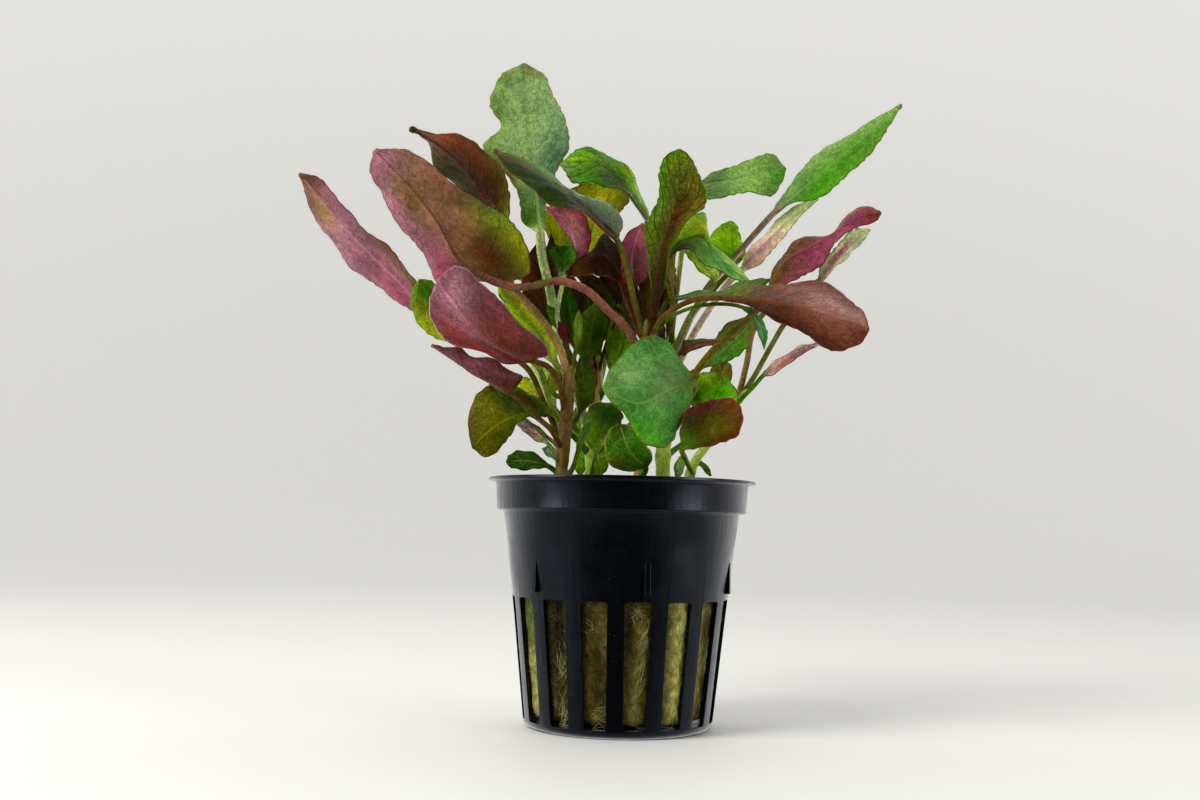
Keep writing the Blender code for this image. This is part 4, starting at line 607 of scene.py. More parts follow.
class PotSettings(PropertyGroup):
    """Sizes and finish of the slotted net pot."""
    height: length("Height", POT_HIGH.z / MM, "Underside to the top of the rim")
    rim_radius: length("Rim radius", POT_HIGH.x / MM, "Outer radius of the flat rim")
    rim_thickness: length("Rim thickness", 0.6, "Thickness of the flat rim")
    collar_radius: length("Collar radius", 25.9, "Outer radius of the collar below the rim")
    collar_foot: length("Collar foot", 43.4, "Height of the collar's lower edge")
    shoulder_radius: length("Shoulder radius", 24.2, "Outer radius of the body below the collar")
    slot_top: length("Slot top", 26.1, "Height of the slots' upper ends")
    slot_top_radius: length("Radius at slot top", 22.0, "Outer radius of the body there")
    slot_foot: length("Slot foot", 1.7, "Height of the slots' lower ends")
    slot_foot_radius: length("Radius at slot foot", 19.3, "Outer radius of the body there")
    base_radius: length("Base radius", 17.4, "Radius of the flat underside")
    wall: length("Wall", 1.0, "Thickness of the wall")
    floor: length("Floor", 1.4, "Thickness of the floor")
    slot_count: number("Slots", 16, "Slots all round", 4, 40)
    slot_turn: angle("Slot turn", 9.5, "Turn of the first slot from the front")
    slot_top_width: length("Slot top width", 5.2, "Width of a slot at its top")
    slot_foot_width: length("Slot foot width", 4.2, "Width of a slot at its foot")
    drain_inner: length("Drain inner end", 8.5, "Radius where a drain opening starts")
    drain_outer: length("Drain outer end", 15.2, "Radius where a drain opening ends")
    drain_inner_width: length("Drain inner width", 1.8, "Width of a drain opening at its inner end")
    drain_outer_width: length("Drain outer width", 3.2, "Width of a drain opening at its outer end")
    lug_count: number("Lugs", 6, "Upright lugs all round", 0, 24)
    lug_turn: angle("Lug turn", 13.2, "Turn of the first lug from the front")
    lug_width: length("Lug width", 1.2, "Width of a lug")
    lug_foot: length("Lug foot", 27.4, "Height of a lug's lower end")
    lug_top: length("Lug top", 33.6, "Height of a lug's upper end")
    edge: length("Edge rounding", 0.14, "Width of the rounding along moulded edges")
    plastic: colour("Plastic", "05070d", "Colour of the moulded plastic")
    scuffs: colour("Scuffs", "2c3036", "Colour of fine scuffs and dried lime")


class WoolSettings(PropertyGroup):
    """The rock wool plug and its loose fibres."""
    foot: length("Foot", 2.5, "Height of the plug's lower end")
    top: length("Top", WOOL_HIGH.z / MM, "Height of the plug's upper end")
    bulge: length("Bulge", 0.55, "How far the plug swells into the slots")
    fibres: number("Fibres", 1100, "Loose fibres on the plug's side", 0, 4000)
    top_fibres: number("Top fibres", 260, "Loose fibres on the plug's top", 0, 4000)
    fibre_radius: length("Fibre radius", 0.026, "Radius of a loose fibre")
    olive: colour("Olive", "5a5016", "Most of the plug")
    brown: colour("Brown", "241c05", "Damp, shaded parts")
    yellow: colour("Yellow", "c6c474", "Clean parts and loose fibres")
    moss: colour("Moss", "567030", "Algae near the top and at the left")


class StemSettings(PropertyGroup):
    """The upright stems."""
    ring_gap: length("Ring gap", 0.6, "Spacing of the rings along a stem")
    depth: length("Rooted depth", 3.0, "How far a stem goes into the plug")
    swelling: share("Swelling", 0.2, "How much a stem swells where a leaf grows out")
    tip: length("Tip", 3.2, "Length of the growing tip")
    bark: colour("Bark", "9c883a", "Lower skin of the older stems")
    tan: colour("Tan", "786630", "Upper skin of the older stems")
    green: colour("Green", "9ac434", "Lower skin of the young stems")
    pale: colour("Pale green", "c4da66", "Upper skin of the young stems")


class LeafSettings(PropertyGroup):
    """Shape of the leaves."""
    ring_gap: length("Ring gap", 0.75, "Spacing of the rings along a blade")
    column_gap: length("Column gap", 0.8, "Spacing of the points across half a blade")
    thickness: length("Blade thickness", 0.28, "Thickness of a blade away from its veins")
    bow: share("Bow", 0.09, "Arch of each half blade, as a share of its width")
    quilting: share("Quilting", 0.022, "Swelling between the side veins, as a share of the half width")
    wave: share("Wave", 0.07, "Waviness of the margin, as a share of the half width")
    ripple: length("Ripple", 0.16, "Height of the uneven ripples over a blade")
    tooth: length("Teeth", 0.17, "Depth of the shallow teeth along the margin")
    vein_gap: length("Vein gap", 4.4, "Spacing of the side veins along the rib")
    sweep: share("Sweep", 0.3, "How far a side vein runs towards the tip, as a share of the blade")
    rim_width: length("Rim width", 0.35, "Width of the coloured rim")


class LeafColours(PropertyGroup):
    """Colours that the leaves are painted with."""
    mauve: colour("Mauve", "945e7a", "Outer undersides on the left")
    pale_mauve: colour("Pale mauve", "a87692", "Thin margins of the mauve undersides")
    plum: colour("Plum", "743f4c", "Darker undersides")
    violet: colour("Violet", "8f3c60", "Bright purple undersides")
    aubergine: colour("Aubergine", "3d1420", "Darkest purple")
    wine: colour("Wine", "5c1a2a", "Rims of the purple leaves")
    crimson: colour("Crimson", "8a2a32", "Red rims")
    brick: colour("Brick", "72322a", "Red-brown undersides")
    rosewood: colour("Rosewood", "8a564a", "Pinkish brown stalks and blade ends")
    rust: colour("Rust", "783a20", "Ribs of the older leaves")
    maroon: colour("Maroon", "4c1a0c", "Dark red-brown patches")
    umber: colour("Umber", "36220a", "Dark brown patches and rims")
    brown: colour("Brown", "64441a", "Olive-brown patches")
    tan: colour("Tan", "9a7c4a", "Pale brown stalks")
    rose: colour("Rose", "b88890", "Pink ribs and stalks")
    blush: colour("Blush", "d8bcae", "Palest pink underside")
    olive: colour("Olive", "62590c", "Olive green")
    deep_olive: colour("Deep olive", "363206", "Dark olive")
    moss: colour("Moss green", "56700f", "Yellowish mid green")
    brass: colour("Brass", "8e9810", "Yellowish olive")
    lime: colour("Lime", "86b40c", "Yellow-green, thin leaves")
    vivid: colour("Vivid green", "3f8c08", "Bright green")
    fresh_green: colour("Fresh green", "559a28", "The large leaf on the right")
    green: colour("Green", "3a7a0c", "Mid green")
    forest: colour("Forest green", "1f440a", "Dark green")
    black_green: colour("Black green", "14300a", "Darkest green")
    soft_green: colour("Soft green", "7aa252", "Dull mid green")
    pale_green: colour("Pale green", "82a26a", "Pale upper faces")
    # Grey green is the own colour of hidden upper faces, and in dabs on shown faces a painted sheen.
    grey_green: colour("Grey green", "6a8c58", "Upper faces with a bloom")
    sea_green: colour("Sea green", "5c8468", "Bluish bloom")
    jade: colour("Jade", "3e8236", "Bluish mid green")
    sage: colour("Sage", "a8b88a", "Greyish green underside")
    straw: colour("Straw", "a2b060", "Pale stalks and ribs")
    pale_lime: colour("Pale lime", "cee09c", "Palest stalks")


class StageSettings(PropertyGroup):
    """Floor, light and surroundings."""
    floor_radius: length("Floor radius", 700, "Radius of the flat floor")
    bowl_height: length("Backdrop height", 1500, "Height of the round backdrop")
    floor: colour("Floor", "e9e8e4", "Colour of the floor and the backdrop")
    surround: brightness("Surround", 0.45, "Brightness of the light tent")
    front: brightness("Front", 0.02, "Brightness of the dark side of the tent, behind the camera")
    back: brightness("Back", 1.3, "Brightness of the side of the tent behind the plant")
    lift: brightness("Backdrop light", 0.8, "Extra brightness of the upright backdrop")
    key: brightness("Main light", 3.25, "Power of the soft light at the upper left", unit="POWER")
    sides: brightness("Side lights", 1.0, "Power of each soft light at the side", unit="POWER")


class PlantSettings(PropertyGroup):
    """Everything that a user would change."""
    pot: PointerProperty(type=PotSettings, name="Pot", description="Net pot")
    wool: PointerProperty(type=WoolSettings, name="Rock wool", description="Plug and fibres")
    stems: PointerProperty(type=StemSettings, name="Stems", description="Upright stems")
    leaves: PointerProperty(type=LeafSettings, name="Leaves", description="Shape of the leaves")
    colours: PointerProperty(type=LeafColours, name="Leaf colours", description="Colours of the leaves")
    stage: PointerProperty(type=StageSettings, name="Stage", description="Floor and light")


def settings(name):
    """The values of a group of settings, with its lengths in millimetres."""
    group = getattr(bpy.context.scene.cardinal_flower, name)
    found = {}
    for field in type(group).__annotations__:
        value = getattr(group, field)
        if group.bl_rna.properties[field].unit == "LENGTH":
            value = value / MM
        elif not isinstance(value, (int, float)):
            value = np.array(value)
        found[field] = value
    return SimpleNamespace(**found)


def ease(amount):
    """Smooth rise from 0 to 1 while the amount goes from 0 to 1."""
    amount = np.clip(amount, 0.0, 1.0)
    return amount * amount * (3 - 2 * amount)


def bell(amount):
    return np.exp(-np.square(amount))


def unit(vectors):
    return vectors / np.linalg.norm(vectors, axis=-1, keepdims=True)


def seen(points):
    """Places of points that show at (across, up) from the front and stand at a depth."""
    points = np.asarray(points, dtype=float)
    scale = (EYE_DISTANCE + points[..., 2]) / EYE_DISTANCE
    up = EYE_HEIGHT + (points[..., 1] - EYE_HEIGHT) * scale
    return np.stack((points[..., 0] * scale, points[..., 2], up), axis=-1)


def round_axis(radius, turn, height):
    """Points at a radius from the upright axis, turned from the front, at a height."""
    return np.stack(np.broadcast_arrays(radius * np.sin(turn), -radius * np.cos(turn), height), axis=-1)


def reach_of(points):
    """Distance of each point from the first, along the line through them."""
    steps = np.linalg.norm(np.diff(points, axis=0), axis=1)
    return np.concatenate(([0.0], np.cumsum(steps)))


def curve(points, places):
    """Points on the smooth curve through the given ones, at distances along it."""
    reach = reach_of(points)
    order = np.arange(len(points))
    before = np.maximum(order - 1, 0)
    after = np.minimum(order + 1, len(points) - 1)
    slope = (points[after] - points[before]) / (reach[after] - reach[before])[:, None]
    step = np.clip(np.searchsorted(reach, places, side="right") - 1, 0, len(points) - 2)
    span = (reach[step + 1] - reach[step])[:, None]
    s = (places - reach[step])[:, None] / span
    return (points[step] * (1 + 2 * s) * (1 - s) ** 2 + points[step + 1] * s * s * (3 - 2 * s)
            + slope[step] * s * (1 - s) ** 2 * span + slope[step + 1] * s * s * (s - 1) * span)


def headings(points):
    return unit(np.gradient(points, axis=0))


def ripples(first, second, draw, scale):
    """Smooth uneven field over two coordinates in millimetres, mostly between -1 and 1."""
    field = np.zeros(np.broadcast(first, second).shape)
    for _ in range(4):
        turn, start = draw.uniform(0, FULL_TURN, 2)
        wave = FULL_TURN / (scale * draw.uniform(0.6, 1.6))
        field += 0.4 * np.sin(wave * (first * math.cos(turn) + second * math.sin(turn)) + start)
    return field


def tube_faces(rings, sides, first=0, closed=True):
    """Faces round a tube of rings of points, and over its two ends where it is closed."""
    faces = []
    for low in range(first, first + (rings - 1) * sides, sides):
        for step in range(sides):
            after = (step + 1) % sides
            faces.append((low + step, low + after, low + sides + after, low + sides + step))
    if closed:
        end = first + (rings - 1) * sides
        faces.append(tuple(range(first, first + sides))[::-1])
        faces.append(tuple(range(end, end + sides)))
    return faces


def mesh_piece(name, points, faces, finishes, marks=None, face_finish=None):
    """New smooth object from points in millimetres, with its finishes and its values at each point."""
    mesh = bpy.data.meshes.new(name)
    mesh.from_pydata((np.asarray(points) * MM).tolist(), [], faces)
    for finish in finishes:
        mesh.materials.append(finish)
    if face_finish is not None:
        mesh.polygons.foreach_set("material_index", np.asarray(face_finish, dtype=np.int32))
    kinds = {1: ("FLOAT", "value"), 3: ("FLOAT_VECTOR", "vector"), 4: ("FLOAT_COLOR", "color")}
    for label, field in (marks or {}).items():
        field = field.reshape(len(points), -1)
        if label.endswith("tint"):
            field = np.concatenate((field, np.ones((len(field), 1))), axis=1)
        kind, slot = kinds[field.shape[1]]
        layer = mesh.attributes.new(label, kind, "POINT")
        layer.data.foreach_set(slot, np.ascontiguousarray(field, dtype=np.float32).ravel())
    mesh.shade_smooth()
    mesh.validate()
    piece = bpy.data.objects.new(name, mesh)
    bpy.context.scene.collection.objects.link(piece)
    return piece


def stand_for(piece, node):
    """Puts the piece in its node's place, or adds it to the plant where the frame has no such node."""
    if node in SLOTS:
        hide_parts(node)
    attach(piece, BODY)
    SLOTS.get(node, SMALL_LEAF_SLOT)


class Wiring:
    """Short calls that add nodes to a node tree."""

    def __init__(self, tree):
        self.tree = tree

    def put(self, socket, value):
        """Links or sets one socket."""
        if isinstance(value, bpy.types.NodeSocket):
            self.tree.links.new(value, socket)
        else:
            socket.default_value = value

    def node(self, kind, inputs, **fields):
        item = self.tree.nodes.new("ShaderNode" + kind)
        for field, value in fields.items():
            setattr(item, field, value)
        for key, value in inputs.items():
            self.put(item.inputs[key], value)
        return item

    def sum(self, operation, first, second=0.0, third=0.0):
        return self.node("Math", {0: first, 1: second, 2: third}, operation=operation).outputs[0]

    def times(self, first, second):
        return self.sum("MULTIPLY", first, second)

    def band(self, value, start, end, low=0.0, high=1.0):
        """Smooth change from low to high while the value goes from start to end."""
        inputs = {"Value": value, "From Min": start, "From Max": end, "To Min": low, "To Max": high}
        return self.node("MapRange", inputs, interpolation_type="SMOOTHSTEP").outputs[0]


class Finish(Wiring):
    """A material in the making."""

    def __init__(self, name):
        self.material = bpy.data.materials.new(name)
        self.material.use_nodes = True
        super().__init__(self.material.node_tree)
        self.shader = self.tree.nodes["Principled BSDF"]

    def read(self, name, output="Vector"):
        return self.node("Attribute", {}, attribute_name=name).outputs[output]

    def tint(self, name):
        return self.read(name, "Color")

    def parts(self, vector):
        return self.node("SeparateXYZ", {0: vector}).outputs

    def joined(self, first, second, third=0.0):
        return self.node("CombineXYZ", {0: first, 1: second, 2: third}).outputs[0]

    def place(self):
        """Where a point stands on the object, in millimetres."""
        where = self.node("TexCoord", {}).outputs["Object"]
        return self.node("VectorMath", {0: where, 3: 1 / MM}, operation="SCALE").outputs[0]

    def noise(self, where, scale, detail=2.0, roughness=0.5):
        inputs = {"Vector": where, "Scale": scale, "Detail": detail, "Roughness": roughness}
        return self.node("TexNoise", inputs).outputs[0]

    def cells(self, where, scale, **fields):
        inputs = {"Vector": where, "Scale": scale}
        return self.node("TexVoronoi", inputs, **fields).outputs["Distance"]

    def specks(self, where, scale, start, end):
        """Small round spots in scattered cells."""
        return self.band(self.cells(where, scale, feature="F1"), start, end)

    def mix(self, amount, first, second, blend="MIX"):
        inputs = {0: amount, 6: first, 7: second}
        return self.node("Mix", inputs, data_type="RGBA", blend_type=blend).outputs[2]

    def mottle(self, skin, amount, dark, light):
        """The skin's colour darkened where the amount is 0 and lightened where it is 1."""
        tone = self.mix(amount, (*dark, 1), (*light, 1))
        return self.mix(1.0, skin, tone, "MULTIPLY")

    def bump(self, height, depth):
        """Relief from a height between 0 and 1 that stands for a depth in millimetres."""
        inputs = {"Height": height, "Strength": 1.0, "Distance": depth * MM}
        self.put(self.shader.inputs["Normal"], self.node("Bump", inputs).outputs[0])

    def set(self, **sockets):
        for name, value in sockets.items():
            self.put(self.shader.inputs[name.replace("_", " ").title().replace("Ior", "IOR")], value)
        return self.material


def leaf_skin(name, tint, dull):
    """Skin of one face of the leaves: mottled green or purple, with its veins and fine cells."""
    finish = Finish(name)
    phase, rib, gap = finish.parts(finish.read("veins"))
    along, across, strength = finish.parts(finish.read("grain"))
    flat = finish.joined(along, across)
    place = finish.place()

    wander = finish.sum("MULTIPLY_ADD", finish.noise(flat, 0.35), 0.24, -0.12)
    turn = finish.sum("FRACT", finish.sum("ADD", finish.sum("ADD", phase, wander), 0.5))
    away = finish.times(finish.sum("ABSOLUTE", finish.sum("SUBTRACT", turn, 0.5)), gap)
    side_vein = finish.band(away, 0.34, 0.06)
    main_vein = finish.band(rib, 1.15, 0.55)
    stir = finish.node("TexNoise", {"Vector": flat, "Scale": 0.6}).outputs[1]
    bent = finish.node("VectorMath", {0: flat, 1: stir}, operation="ADD").outputs[0]
    borders = {"voronoi_dimensions": "2D", "feature": "DISTANCE_TO_EDGE"}
    net = finish.band(finish.cells(bent, 0.55, **borders), 0.12, 0.01)
    fine_net = finish.band(finish.cells(bent, 1.5, **borders), 0.16, 0.0)

    cloud = finish.band(finish.noise(place, 0.12, 4.0, 0.6), 0.34, 0.68)
    patch = finish.noise(place, 0.9, 3.0, 0.6)
    speck = finish.band(finish.noise(flat, 2.4, 3.0, 0.75), 0.34, 0.66)
    skin = finish.mottle(finish.tint(tint), cloud, (0.68, 0.7, 0.64), (1.32, 1.28, 1.2))
    skin = finish.mottle(skin, finish.band(patch, 0.34, 0.66), (0.76, 0.79, 0.72), (1.24, 1.2, 1.16))
    skin = finish.mottle(skin, speck, (0.7, 0.73, 0.66), (1.3, 1.27, 1.22))
    skin = finish.mix(finish.times(fine_net, 0.3), skin, (0.45, 0.5, 0.4, 1), "MULTIPLY")
    line = finish.tint("vein_tint")
    for veins, shows in ((finish.times(net, strength), 0.4), (finish.times(side_vein, strength), 0.9),
                         (main_vein, 0.6)):
        skin = finish.mix(finish.times(veins, shows), skin, line)
    rim = finish.band(finish.read("rim", "Fac"), 1.1, 0.4)
    skin = finish.mix(finish.times(rim, 0.9), skin, finish.tint("rim_tint"))

    veins = finish.sum("MAXIMUM", finish.times(side_vein, 0.9), finish.times(net, 0.55))
    veins = finish.sum("MAXIMUM", veins, finish.times(fine_net, 0.3))
    relief = finish.sum("MULTIPLY_ADD", veins, 1.0 if dull else -1.0, 1.0)
    relief = finish.sum("MULTIPLY_ADD", finish.noise(flat, 7.0, 2.0, 0.6), 0.16, relief)
    finish.bump(finish.sum("MULTIPLY_ADD", patch, 0.9, relief), 0.26)
    low, high = (0.24, 0.4) if dull else (0.17, 0.33)
    gloss = finish.band(finish.noise(place, 0.35, 3.0, 0.55), 0.35, 0.7, low, high)
    return finish.set(base_color=skin, roughness=gloss, specular_ior_level=0.07,
                      specular_tint=(1.0, 1.0, 0.35, 1), subsurface_weight=0.35,
                      subsurface_radius=(0.7, 1.0, 0.25), subsurface_scale=0.4 * MM)


def stem_skin():
    """Skin of the stems: fine upright lines and small pale specks."""
    finish = Finish("stem skin")
    along, around, _ = finish.parts(finish.read("grain"))
    place = finish.place()
    lines = finish.noise(finish.joined(finish.times(along, 0.25), around), 3.0, 3.0, 0.6)
    specks = finish.specks(place, 1.3, 0.22, 0.08)
    patch = finish.noise(place, 0.6, 4.0, 0.6)
    skin = finish.mottle(finish.tint("skin_tint"), finish.band(lines, 0.3, 0.7), (0.72, 0.7, 0.66),
                         (1.2, 1.2, 1.15))
    skin = finish.mix(finish.band(patch, 0.4, 0.75, 0.0, 0.8), skin, (0.5, 0.36, 0.26, 1), "MULTIPLY")
    skin = finish.mix(finish.times(specks, 0.5), skin, (0.42, 0.36, 0.2, 1))
    finish.bump(finish.sum("MULTIPLY_ADD", specks, 0.35, lines), 0.12)
    gloss = finish.band(patch, 0.3, 0.7, 0.34, 0.52)
    return finish.set(base_color=skin, roughness=gloss, specular_ior_level=0.12, subsurface_weight=0.25,
                      subsurface_radius=(0.8, 1.0, 0.3), subsurface_scale=0.5 * MM)


def moulded_plastic(pot):
    """Black moulded plastic with flow lines, dull patches and a little dried lime."""
    finish = Finish("moulded plastic")
    place = finish.place()
    x, y, z = finish.parts(place)
    patch = finish.noise(place, 0.14, 4.0, 0.6)
    flow = finish.noise(finish.joined(x, y, finish.times(z, 0.06)), 1.1, 3.0, 0.55)
    grain = finish.noise(place, 9.0, 2.0, 0.6)
    patchy = finish.band(finish.noise(place, 0.3), 0.5, 0.66)
    lime = finish.times(finish.specks(place, 0.9, 0.16, 0.05), patchy)
    dark, light = (*pot.plastic * 0.75, 1), (*pot.plastic * 1.5, 1)
    base = finish.mix(finish.band(patch, 0.35, 0.75, 0.0, 0.25), dark, light)
    base = finish.mix(finish.times(lime, 0.5), base, (*pot.scuffs, 1))
    relief = finish.sum("MULTIPLY_ADD", lime, 0.4, flow)
    finish.bump(finish.sum("MULTIPLY_ADD", grain, 0.12, relief), 0.05)
    gloss = finish.sum("ADD", finish.band(patch, 0.3, 0.7, 0.2, 0.34), finish.times(lime, 0.3))
    return finish.set(base_color=base, roughness=gloss, specular_ior_level=0.33,
                      specular_tint=(0.7, 0.82, 1.0, 1))


def mineral_wool():
    """Matted mineral fibres: streaks that run in all directions over a deep, soft relief."""
    finish = Finish("mineral wool")
    place = finish.place()
    first = finish.node("Mapping", {0: place, 2: (0.5, 0.3, 0.9), 3: (0.25, 2.2, 0.8)}).outputs[0]
    second = finish.node("Mapping", {0: place, 2: (-0.7, 0.9, -0.4), 3: (2.0, 0.3, 0.35)}).outputs[0]
    strands = finish.sum("MAXIMUM", finish.noise(first, 1.6, 4.0, 0.7), finish.noise(second, 1.9, 4.0, 0.7))
    clumps = finish.noise(place, 0.55, 4.0, 0.65)
    skin = finish.mottle(finish.tint("skin_tint"), finish.band(strands, 0.42, 0.74), (0.6, 0.58, 0.5),
                         (1.4, 1.4, 1.35))
    skin = finish.mottle(skin, finish.band(clumps, 0.35, 0.68), (0.6, 0.58, 0.52), (1.25, 1.25, 1.2))
    finish.bump(finish.sum("MULTIPLY_ADD", clumps, 1.4, strands), 0.55)
    return finish.set(base_color=skin, roughness=finish.band(strands, 0.4, 0.7, 0.92, 0.6),
                      specular_ior_level=0.12)


def loose_fibre():
    """Single mineral fibres, pale and a little shiny."""
    finish = Finish("loose fibre")
    tone = finish.noise(finish.place(), 2.0)
    skin = finish.mottle(finish.tint("skin_tint"), tone, (0.7, 0.7, 0.66), (1.3, 1.3, 1.25))
    return finish.set(base_color=skin, roughness=finish.band(tone, 0.3, 0.7, 0.35, 0.6))


def wall_radius(pot, height):
    """Outer radius of the pot's body at a height between its foot and its shoulder."""
    height = np.asarray(height, dtype=float)
    lower = np.interp(height, [pot.slot_foot, pot.slot_top], [pot.slot_foot_radius, pot.slot_top_radius])
    upper = np.interp(height, [pot.slot_top, pot.collar_foot], [pot.slot_top_radius, pot.shoulder_radius])
    return np.where(height > pot.slot_top, upper, lower)


def pot_section(pot):
    """Half section of the pot as (radius, height, zone), from the floor round to the underside.

    The zone says what is cut from there to the next point: a slot, a drain opening or nothing.
    """
    heights = np.linspace(pot.slot_foot, pot.slot_top, 9)
    drains = np.linspace(pot.drain_inner, pot.drain_outer, 4)
    plain_wall = (30.0, 36.0)
    inner_ring = 4.0
    collar, shoulder, foot = pot.collar_radius, pot.shoulder_radius, pot.slot_foot_radius
    inside = collar - pot.wall
    rim_under = pot.height - pot.rim_thickness
    step = pot.collar_foot
    rows = [(inner_ring, pot.floor, "")]
    rows += [(radius, pot.floor, "drain") for radius in drains[:-1]]
    rows += [(drains[-1], pot.floor, ""), (foot - pot.wall - 0.6, pot.floor, "")]
    rows += [(wall_radius(pot, height) - pot.wall, height, "slot") for height in heights[:-1]]
    rows += [(pot.slot_top_radius - pot.wall, pot.slot_top, "")]
    rows += [(wall_radius(pot, height) - pot.wall, height, "") for height in plain_wall]
    rows += [(shoulder - pot.wall, step - 0.8, ""), (inside - 0.35, step + 0.5, ""),
             (inside - 0.1, step + 1.3, ""), (inside, pot.height, ""), (pot.rim_radius, pot.height, ""),
             (pot.rim_radius, rim_under, ""), (collar + 0.55, rim_under, ""),
             (collar + 0.15, rim_under - 0.35, ""), (collar, rim_under - 1.0, ""),
             (collar - 0.25, step + 0.25, ""), (collar - 0.45, step, ""),
             (shoulder + 0.25, step - 0.1, ""), (shoulder, step - 0.4, "")]
    rows += [(wall_radius(pot, height), height, "") for height in plain_wall[::-1]]
    rows += [(wall_radius(pot, height), height, "slot") for height in heights[:0:-1]]
    rows += [(foot, pot.slot_foot, ""), (foot - 0.25, 0.95, ""), (foot - 0.85, 0.3, ""),
             (pot.base_radius, 0.0, "")]
    rows += [(radius, 0.0, "drain") for radius in drains[:0:-1]]
    rows += [(drains[0], 0.0, ""), (inner_ring, 0.0, "")]
    return rows


# Points across a slot from edge to edge, how far each sinks at the slot's top to round its corners,
# steps across a bar, and the most that half an opening may take up, as the sine of its turn.
SLOT_COLUMNS = (-1.0, -0.82, -0.4, 0.0, 0.4, 0.82, 1.0)
CORNER_DROPS = (0.35, 0.06, 0.0, 0.0, 0.0, 0.06, 0.35)
BAR_COLUMNS = 8
WIDEST_CUT = 0.15


def pot_columns(pot, radii, heights):
    """Turns of the pot's points from the front, as rows from the section and columns round the pot."""
    upright = np.interp(heights, [pot.slot_foot, pot.slot_top], [pot.slot_foot_width, pot.slot_top_width])
    flat = np.interp(radii, [pot.drain_inner, pot.drain_outer],
                     [pot.drain_inner_width, pot.drain_outer_width])
    on_floor = (heights <= pot.floor) & (radii <= pot.drain_outer + 0.01)
    half = np.arcsin(np.minimum(np.where(on_floor, flat, upright) / 2 / radii, WIDEST_CUT))
    pitch = FULL_TURN / pot.slot_count
    steps = np.arange(1, BAR_COLUMNS) / BAR_COLUMNS
    columns = []
    for slot in range(pot.slot_count):
        middle = pot.slot_turn + slot * pitch
        columns += [middle + half * offset for offset in SLOT_COLUMNS]
        columns += [middle + half + (pitch - 2 * half) * step for step in steps]
    return np.array(columns).T


def pot_shell(pot):
    """Points and faces of the pot: a turned shell whose slots and drains are left open."""
    rows = pot_section(pot)
    radii = np.array([row[0] for row in rows])
    heights = np.array([row[1] for row in rows])
    zones = [row[2] for row in rows]
    angles = pot_columns(pot, radii, heights)
    count = angles.shape[1]
    block = len(SLOT_COLUMNS) + BAR_COLUMNS - 1
    lift = np.zeros_like(angles)
    top = np.isclose(heights, pot.slot_top)
    foot = np.isclose(heights, pot.slot_foot)
    for step, drop in enumerate(CORNER_DROPS):
        lift[np.ix_(top, np.arange(step, count, block))] = -drop
        lift[np.ix_(foot, np.arange(step, count, block))] = drop * 0.5
    points = round_axis(radii[:, None], angles, heights[:, None] + lift)

    def at(row, column):
        return row * count + column % count

    faces = []
    for row in range(len(rows) - 1):
        for column in range(count):
            if zones[row] and column % block < len(SLOT_COLUMNS) - 1:
                continue
            faces.append((at(row, column), at(row, column + 1),
                          at(row + 1, column + 1), at(row + 1, column)))
    for zone in ("drain", "slot"):
        cut = [row for row in range(len(rows)) if zones[row] == zone]
        gap = next(step for step in range(1, len(cut)) if cut[step] > cut[step - 1] + 1)
        inner = cut[:gap] + [cut[gap - 1] + 1]
        outer = (cut[gap:] + [cut[-1] + 1])[::-1]
        for first in range(0, count, block):
            last = first + len(SLOT_COLUMNS) - 1
            for step in range(len(inner) - 1):
                faces.append((at(inner[step], first), at(inner[step + 1], first),
                              at(outer[step + 1], first), at(outer[step], first)))
                faces.append((at(outer[step], last), at(outer[step + 1], last),
                              at(inner[step + 1], last), at(inner[step], last)))
            for column in range(first, last):
                faces.append((at(inner[0], column + 1), at(inner[0], column),
                              at(outer[0], column), at(outer[0], column + 1)))
                faces.append((at(inner[-1], column), at(inner[-1], column + 1),
                              at(outer[-1], column + 1), at(outer[-1], column)))
    points = points.reshape(-1, 3)
    middle = len(points)
    points = np.vstack((points, (0, 0, pot.floor), (0, 0, 0)))
    last_row = len(rows) - 1
    for column in range(count):
        faces.append((middle, at(0, column + 1), at(0, column)))
        faces.append((middle + 1, at(last_row, column), at(last_row, column + 1)))
    return points, faces


def pot_lugs(pot):
    """Points and faces of the lugs, whose face stays plumb while the wall behind leans in."""
    points = []
    faces = []
    out = wall_radius(pot, pot.lug_top) + 0.1
    back = wall_radius(pot, pot.lug_foot) - pot.wall / 2
    for lug in range(pot.lug_count):
        turn = pot.lug_turn + lug * FULL_TURN / pot.lug_count
        first = len(points)
        for height in (pot.lug_foot, pot.lug_top):
            for radius, side in ((back, -1), (out, -1), (out, 1), (back, 1)):
                half = side * pot.lug_width / 2
                points.append((radius * math.sin(turn) + half * math.cos(turn),
                               -radius * math.cos(turn) + half * math.sin(turn), height))
        for corners in ((0, 3, 2, 1), (4, 5, 6, 7), (0, 1, 5, 4), (1, 2, 6, 5), (2, 3, 7, 6), (3, 0, 4, 7)):
            faces.append(tuple(first + corner for corner in corners))
    return points, faces


# Edges that turn by more than this many degrees are rounded.
SHARP_EDGE = 34


